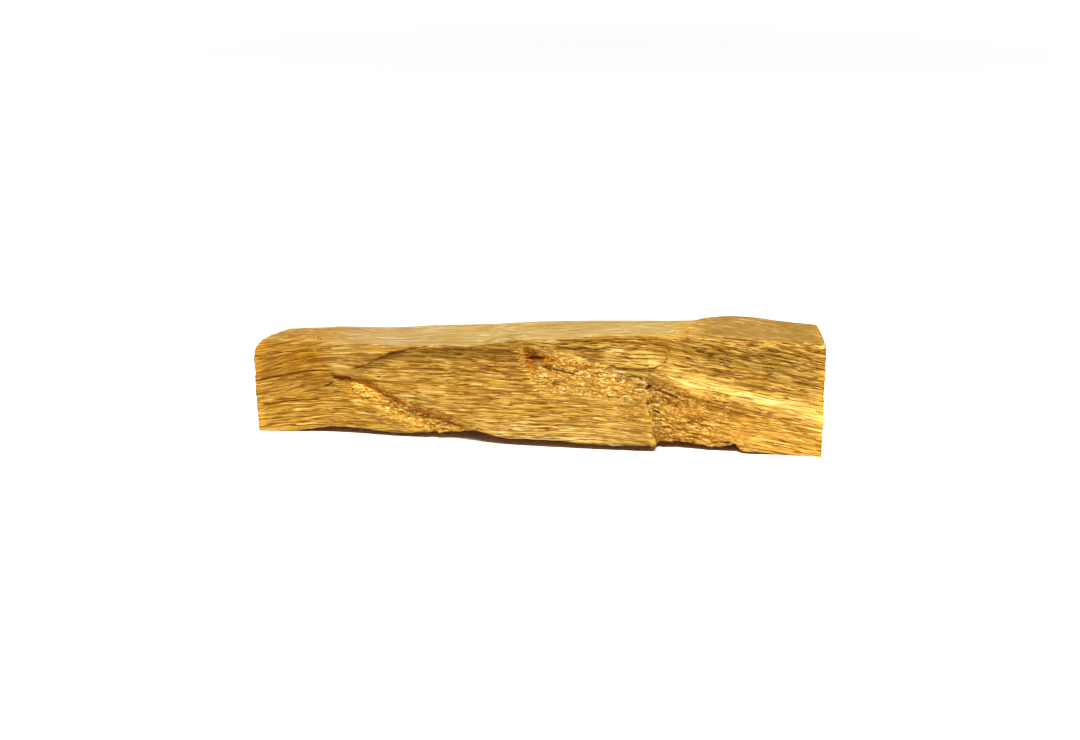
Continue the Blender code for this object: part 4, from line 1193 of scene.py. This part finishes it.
def wood_material(colours):
    """Split heartwood: light and dark strands along the grain, dark in cracks, ringed on the saw cuts."""
    material = bpy.data.materials.new(WOOD)
    graph = Graph(material)
    grain, torn = graph.attribute("grain", "Vector"), graph.attribute("torn")
    noises = {name: graph.noise(grain, *row) for name, row in NOISES.items()}
    places = graph.axis(grain, 1), graph.axis(grain, 2)
    marked, lines, checks, crevices = split_colour(graph, grain, noises, places, colours)
    colour = graph.mix(graph.attribute("cut"), marked, end_colour(graph, noises, places, colours))
    inputs = graph.shader.inputs
    graph.put(inputs["Base Color"], colour)
    rough = ROUGH + (noises["hair"] - 0.5) * ROUGH_HAIR + torn * ROUGH_TORN
    graph.put(inputs["Roughness"], rough.clamp(*ROUGH_SPAN))
    graph.put(inputs["Specular IOR Level"], SHEEN)
    heights = {"hair": noises["hair"], "fibre": noises["fibre"], "torn grit": noises["grit"] * torn,
               "lines": lines, "checks": checks, "crevices": crevices}
    height = sum(heights[name] * weight for name, weight in BUMPS.items())
    values = {"Strength": BUMP_STRENGTH, "Distance": BUMP_DISTANCE, "Height": height}
    graph.put(inputs["Normal"], graph.node("ShaderNodeBump", values=values))
    return material


def floor_material(colour):
    """Plain pale paper, evenly bright far from the light."""
    material = bpy.data.materials.new("floor")
    graph = Graph(material)
    inputs = graph.shader.inputs
    graph.put(inputs["Base Color"], (*colour, 1.0))
    graph.put(inputs["Roughness"], FLOOR_ROUGH)
    place = graph.node("ShaderNodeTexCoord", output=3)
    radius = graph.node("ShaderNodeVectorMath", {"operation": "LENGTH"}, [place], output=1)
    high = graph.axis(place, 2).between(0.0, FLOOR_CURVE * FLOOR_GLOW_LOW)
    far = radius.between(FLOOR_GLOW_FROM, FLOOR_GLOW_FULL) * (1 - high * FLOOR_GLOW_LOSS)
    graph.put(inputs["Emission Color"], graph.mix(far, (0.0, 0.0, 0.0), (1.0, 1.0, 1.0)))
    graph.put(inputs["Emission Strength"], 1.0)
    return material


def floor_mesh():
    """A round floor that curves up into a low backdrop all round."""
    turn = np.linspace(0, np.pi / 2, FLOOR_CURVE_STATIONS)
    radii = [*FLOOR_RINGS, *(FLOOR_RADIUS + FLOOR_CURVE * np.sin(turn))]
    heights = [0.0 for _ in FLOOR_RINGS] + [*(FLOOR_CURVE * (1 - np.cos(turn)))]
    around = np.linspace(0, 2 * np.pi, FLOOR_SIDES, endpoint=False)
    rings = [np.stack([r * np.cos(around), r * np.sin(around), np.full(FLOOR_SIDES, h)], -1)
             for r, h in zip(radii, heights)]
    quads = [ring_faces((k + 1) * FLOOR_SIDES, k * FLOOR_SIDES, FLOOR_SIDES) for k in range(len(rings) - 1)]
    mesh = bpy.data.meshes.new("floor")
    faces = [list(range(FLOOR_SIDES))] + np.concatenate(quads).tolist()
    mesh.from_pydata(np.concatenate(rings).tolist(), [], faces)
    mesh.shade_smooth()
    return mesh


def add_object(name, data):
    """A new object in the scene."""
    made = bpy.data.objects.new(name, data)
    bpy.context.scene.collection.objects.link(made)
    return made


def colour_property(name, description, default):
    """A colour setting."""
    return bpy.props.FloatVectorProperty(
        name=name, description=description, default=default, subtype="COLOR", size=3, min=0, max=4)


class StickSettings(bpy.types.PropertyGroup):
    """Sizes and colours of the stick."""

    check_depth: bpy.props.FloatProperty(
        name="Check depth", description="Depth of the small drying checks, in millimetres",
        default=0.22, min=0)
    fibres: bpy.props.IntProperty(
        name="Fibres", description="How many loose slivers stand off the torn places", default=420, min=1)
    brown: colour_property("Brown", "Darkest strands", (0.235, 0.105, 0.009))
    gold: colour_property("Gold", "Common wood", (0.45, 0.238, 0.030))
    pale: colour_property("Pale", "Lightest strands", (0.70, 0.470, 0.130))
    line: colour_property("Line", "Fine dark lines of the grain", (0.17, 0.066, 0.004))
    # Inside of cracks, checks and fissures: dark wood with painted shade in the narrow openings; the gaps
    # between crumbs take it as painted shade.
    crack: colour_property("Crack", "Inside of cracks", (0.13, 0.040, 0.005))
    # Painted shade between crumbs of torn wood.
    crevice_shade: colour_property("Crevice shade", "Between crumbs of torn wood", (0.40, 0.16, 0.012))
    end_dark: colour_property("End dark", "Dark rings of the saw cuts", (0.42, 0.22, 0.05))
    end_pale: colour_property("End pale", "Light rings of the saw cuts", (0.72, 0.46, 0.16))


class StageSettings(bpy.types.PropertyGroup):
    """Floor, light and camera."""

    floor: colour_property("Floor", "Colour of the floor", (0.86, 0.86, 0.86))
    dome: bpy.props.FloatProperty(name="Dome", description="Strength of the even light", default=0.008)
    key: bpy.props.FloatProperty(name="Key", description="Power of the overhead light in watts", default=21.0)
    lens: bpy.props.FloatProperty(name="Lens", description="Focal length in millimetres", default=60.0)
    distance: bpy.props.FloatProperty(
        name="Distance", description="From the camera to its target", default=0.316, unit="LENGTH")


@functools.lru_cache(maxsize=1)
def stick_surface(check_depth):
    """The surface of the stick, worked out once for both of its pieces."""
    return StickSurface(check_depth)


def add_wood_piece(name, mesh, settings):
    """A piece of the stick in the scene, in the wood that both pieces share."""
    wood = bpy.data.materials.get(WOOD)
    if wood is None:
        wood = wood_material({colour: tuple(getattr(settings, colour)) for colour in COLOURS})
    piece = add_object(name, mesh)
    piece.data.materials.append(wood)
    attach(piece, "root")
    return piece


class STICK_OT_surface(bpy.types.Operator):
    """Builds the stick's split surface in place of the CAD solid"""

    bl_idname = "stick.surface"
    bl_label = "Build stick"

    def execute(self, context):
        settings = context.scene.stick
        stick = add_wood_piece("stick", stick_mesh(stick_surface(settings.check_depth)), settings)
        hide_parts(NODE)
        return {"FINISHED"}


class STICK_OT_fibres(bpy.types.Operator):
    """Builds the loose slivers of wood at the torn places"""

    bl_idname = "stick.fibres"
    bl_label = "Build torn fibres"

    def execute(self, context):
        settings = context.scene.stick
        mesh = fibre_mesh(stick_surface(settings.check_depth), settings.fibres)
        add_wood_piece("torn_fibres", mesh, settings)
        return {"FINISHED"}


class STICK_OT_stage(bpy.types.Operator):
    """Builds the floor, the lights and the camera"""

    bl_idname = "stick.stage"
    bl_label = "Build stage"

    def execute(self, context):
        scene, settings = context.scene, context.scene.stage
        floor = add_object("floor", floor_mesh())
        floor.data.materials.append(floor_material(tuple(settings.floor)))
        floor.location.z = -FLOOR_GAP
        world = bpy.data.worlds.new("even light")
        world.use_nodes = True
        background = world.node_tree.nodes["Background"]
        background.inputs["Color"].default_value = (1, 1, 1, 1)
        background.inputs["Strength"].default_value = settings.dome
        scene.world = world
        light = bpy.data.lights.new("overhead softbox", "AREA")
        light.shape, light.energy = "RECTANGLE", settings.key
        light.size, light.size_y = LAMP_SIZE
        lamp = add_object("overhead softbox", light)
        lamp.location = LAMP_PLACE
        lamp.rotation_euler = (Vector(LAMP_AIM) - lamp.location).to_track_quat("-Z", "Y").to_euler()
        azimuth, level = math.radians(AZIMUTH), math.cos(math.radians(ELEVATION))
        rise = math.sin(math.radians(ELEVATION))
        back = Vector((math.sin(azimuth) * level, -math.cos(azimuth) * level, rise))
        right = Vector((math.cos(azimuth), math.sin(azimuth), 0))
        turn = Matrix((right, back.cross(right), back)).transposed().to_4x4()
        camera_data = bpy.data.cameras.new("camera")
        camera_data.lens, camera_data.sensor_width = settings.lens, SENSOR
        camera_data.clip_start, camera_data.clip_end = CLIP
        camera = add_object("camera", camera_data)
        camera.matrix_world = Matrix.Translation(Vector(TARGET) + back * settings.distance) @ turn
        scene.camera = camera
        scene.view_settings.view_transform = "Standard"
        return {"FINISHED"}


class STICK_PT_panel(bpy.types.Panel):
    """Settings and buttons of the stick"""

    bl_label = "Palo santo stick"
    bl_space_type = "VIEW_3D"
    bl_region_type = "UI"
    bl_category = "Stick"

    def draw(self, context):
        for settings in (context.scene.stick, context.scene.stage):
            for name in settings.__annotations__:
                self.layout.prop(settings, name)
        for operator in OPERATORS:
            self.layout.operator(operator.bl_idname)


OPERATORS = (STICK_OT_surface, STICK_OT_fibres, STICK_OT_stage)
CLASSES = (StickSettings, StageSettings, *OPERATORS, STICK_PT_panel)


def register():
    for cls in CLASSES:
        bpy.utils.register_class(cls)
    bpy.types.Scene.stick = bpy.props.PointerProperty(type=StickSettings)
    bpy.types.Scene.stage = bpy.props.PointerProperty(type=StageSettings)


def unregister():
    del bpy.types.Scene.stick
    del bpy.types.Scene.stage
    for cls in reversed(CLASSES):
        bpy.utils.unregister_class(cls)


def main():
    register()
    bpy.ops.stick.surface()
    bpy.ops.stick.fibres()
    bpy.ops.stick.stage()


if __name__ == "__main__":
    main()
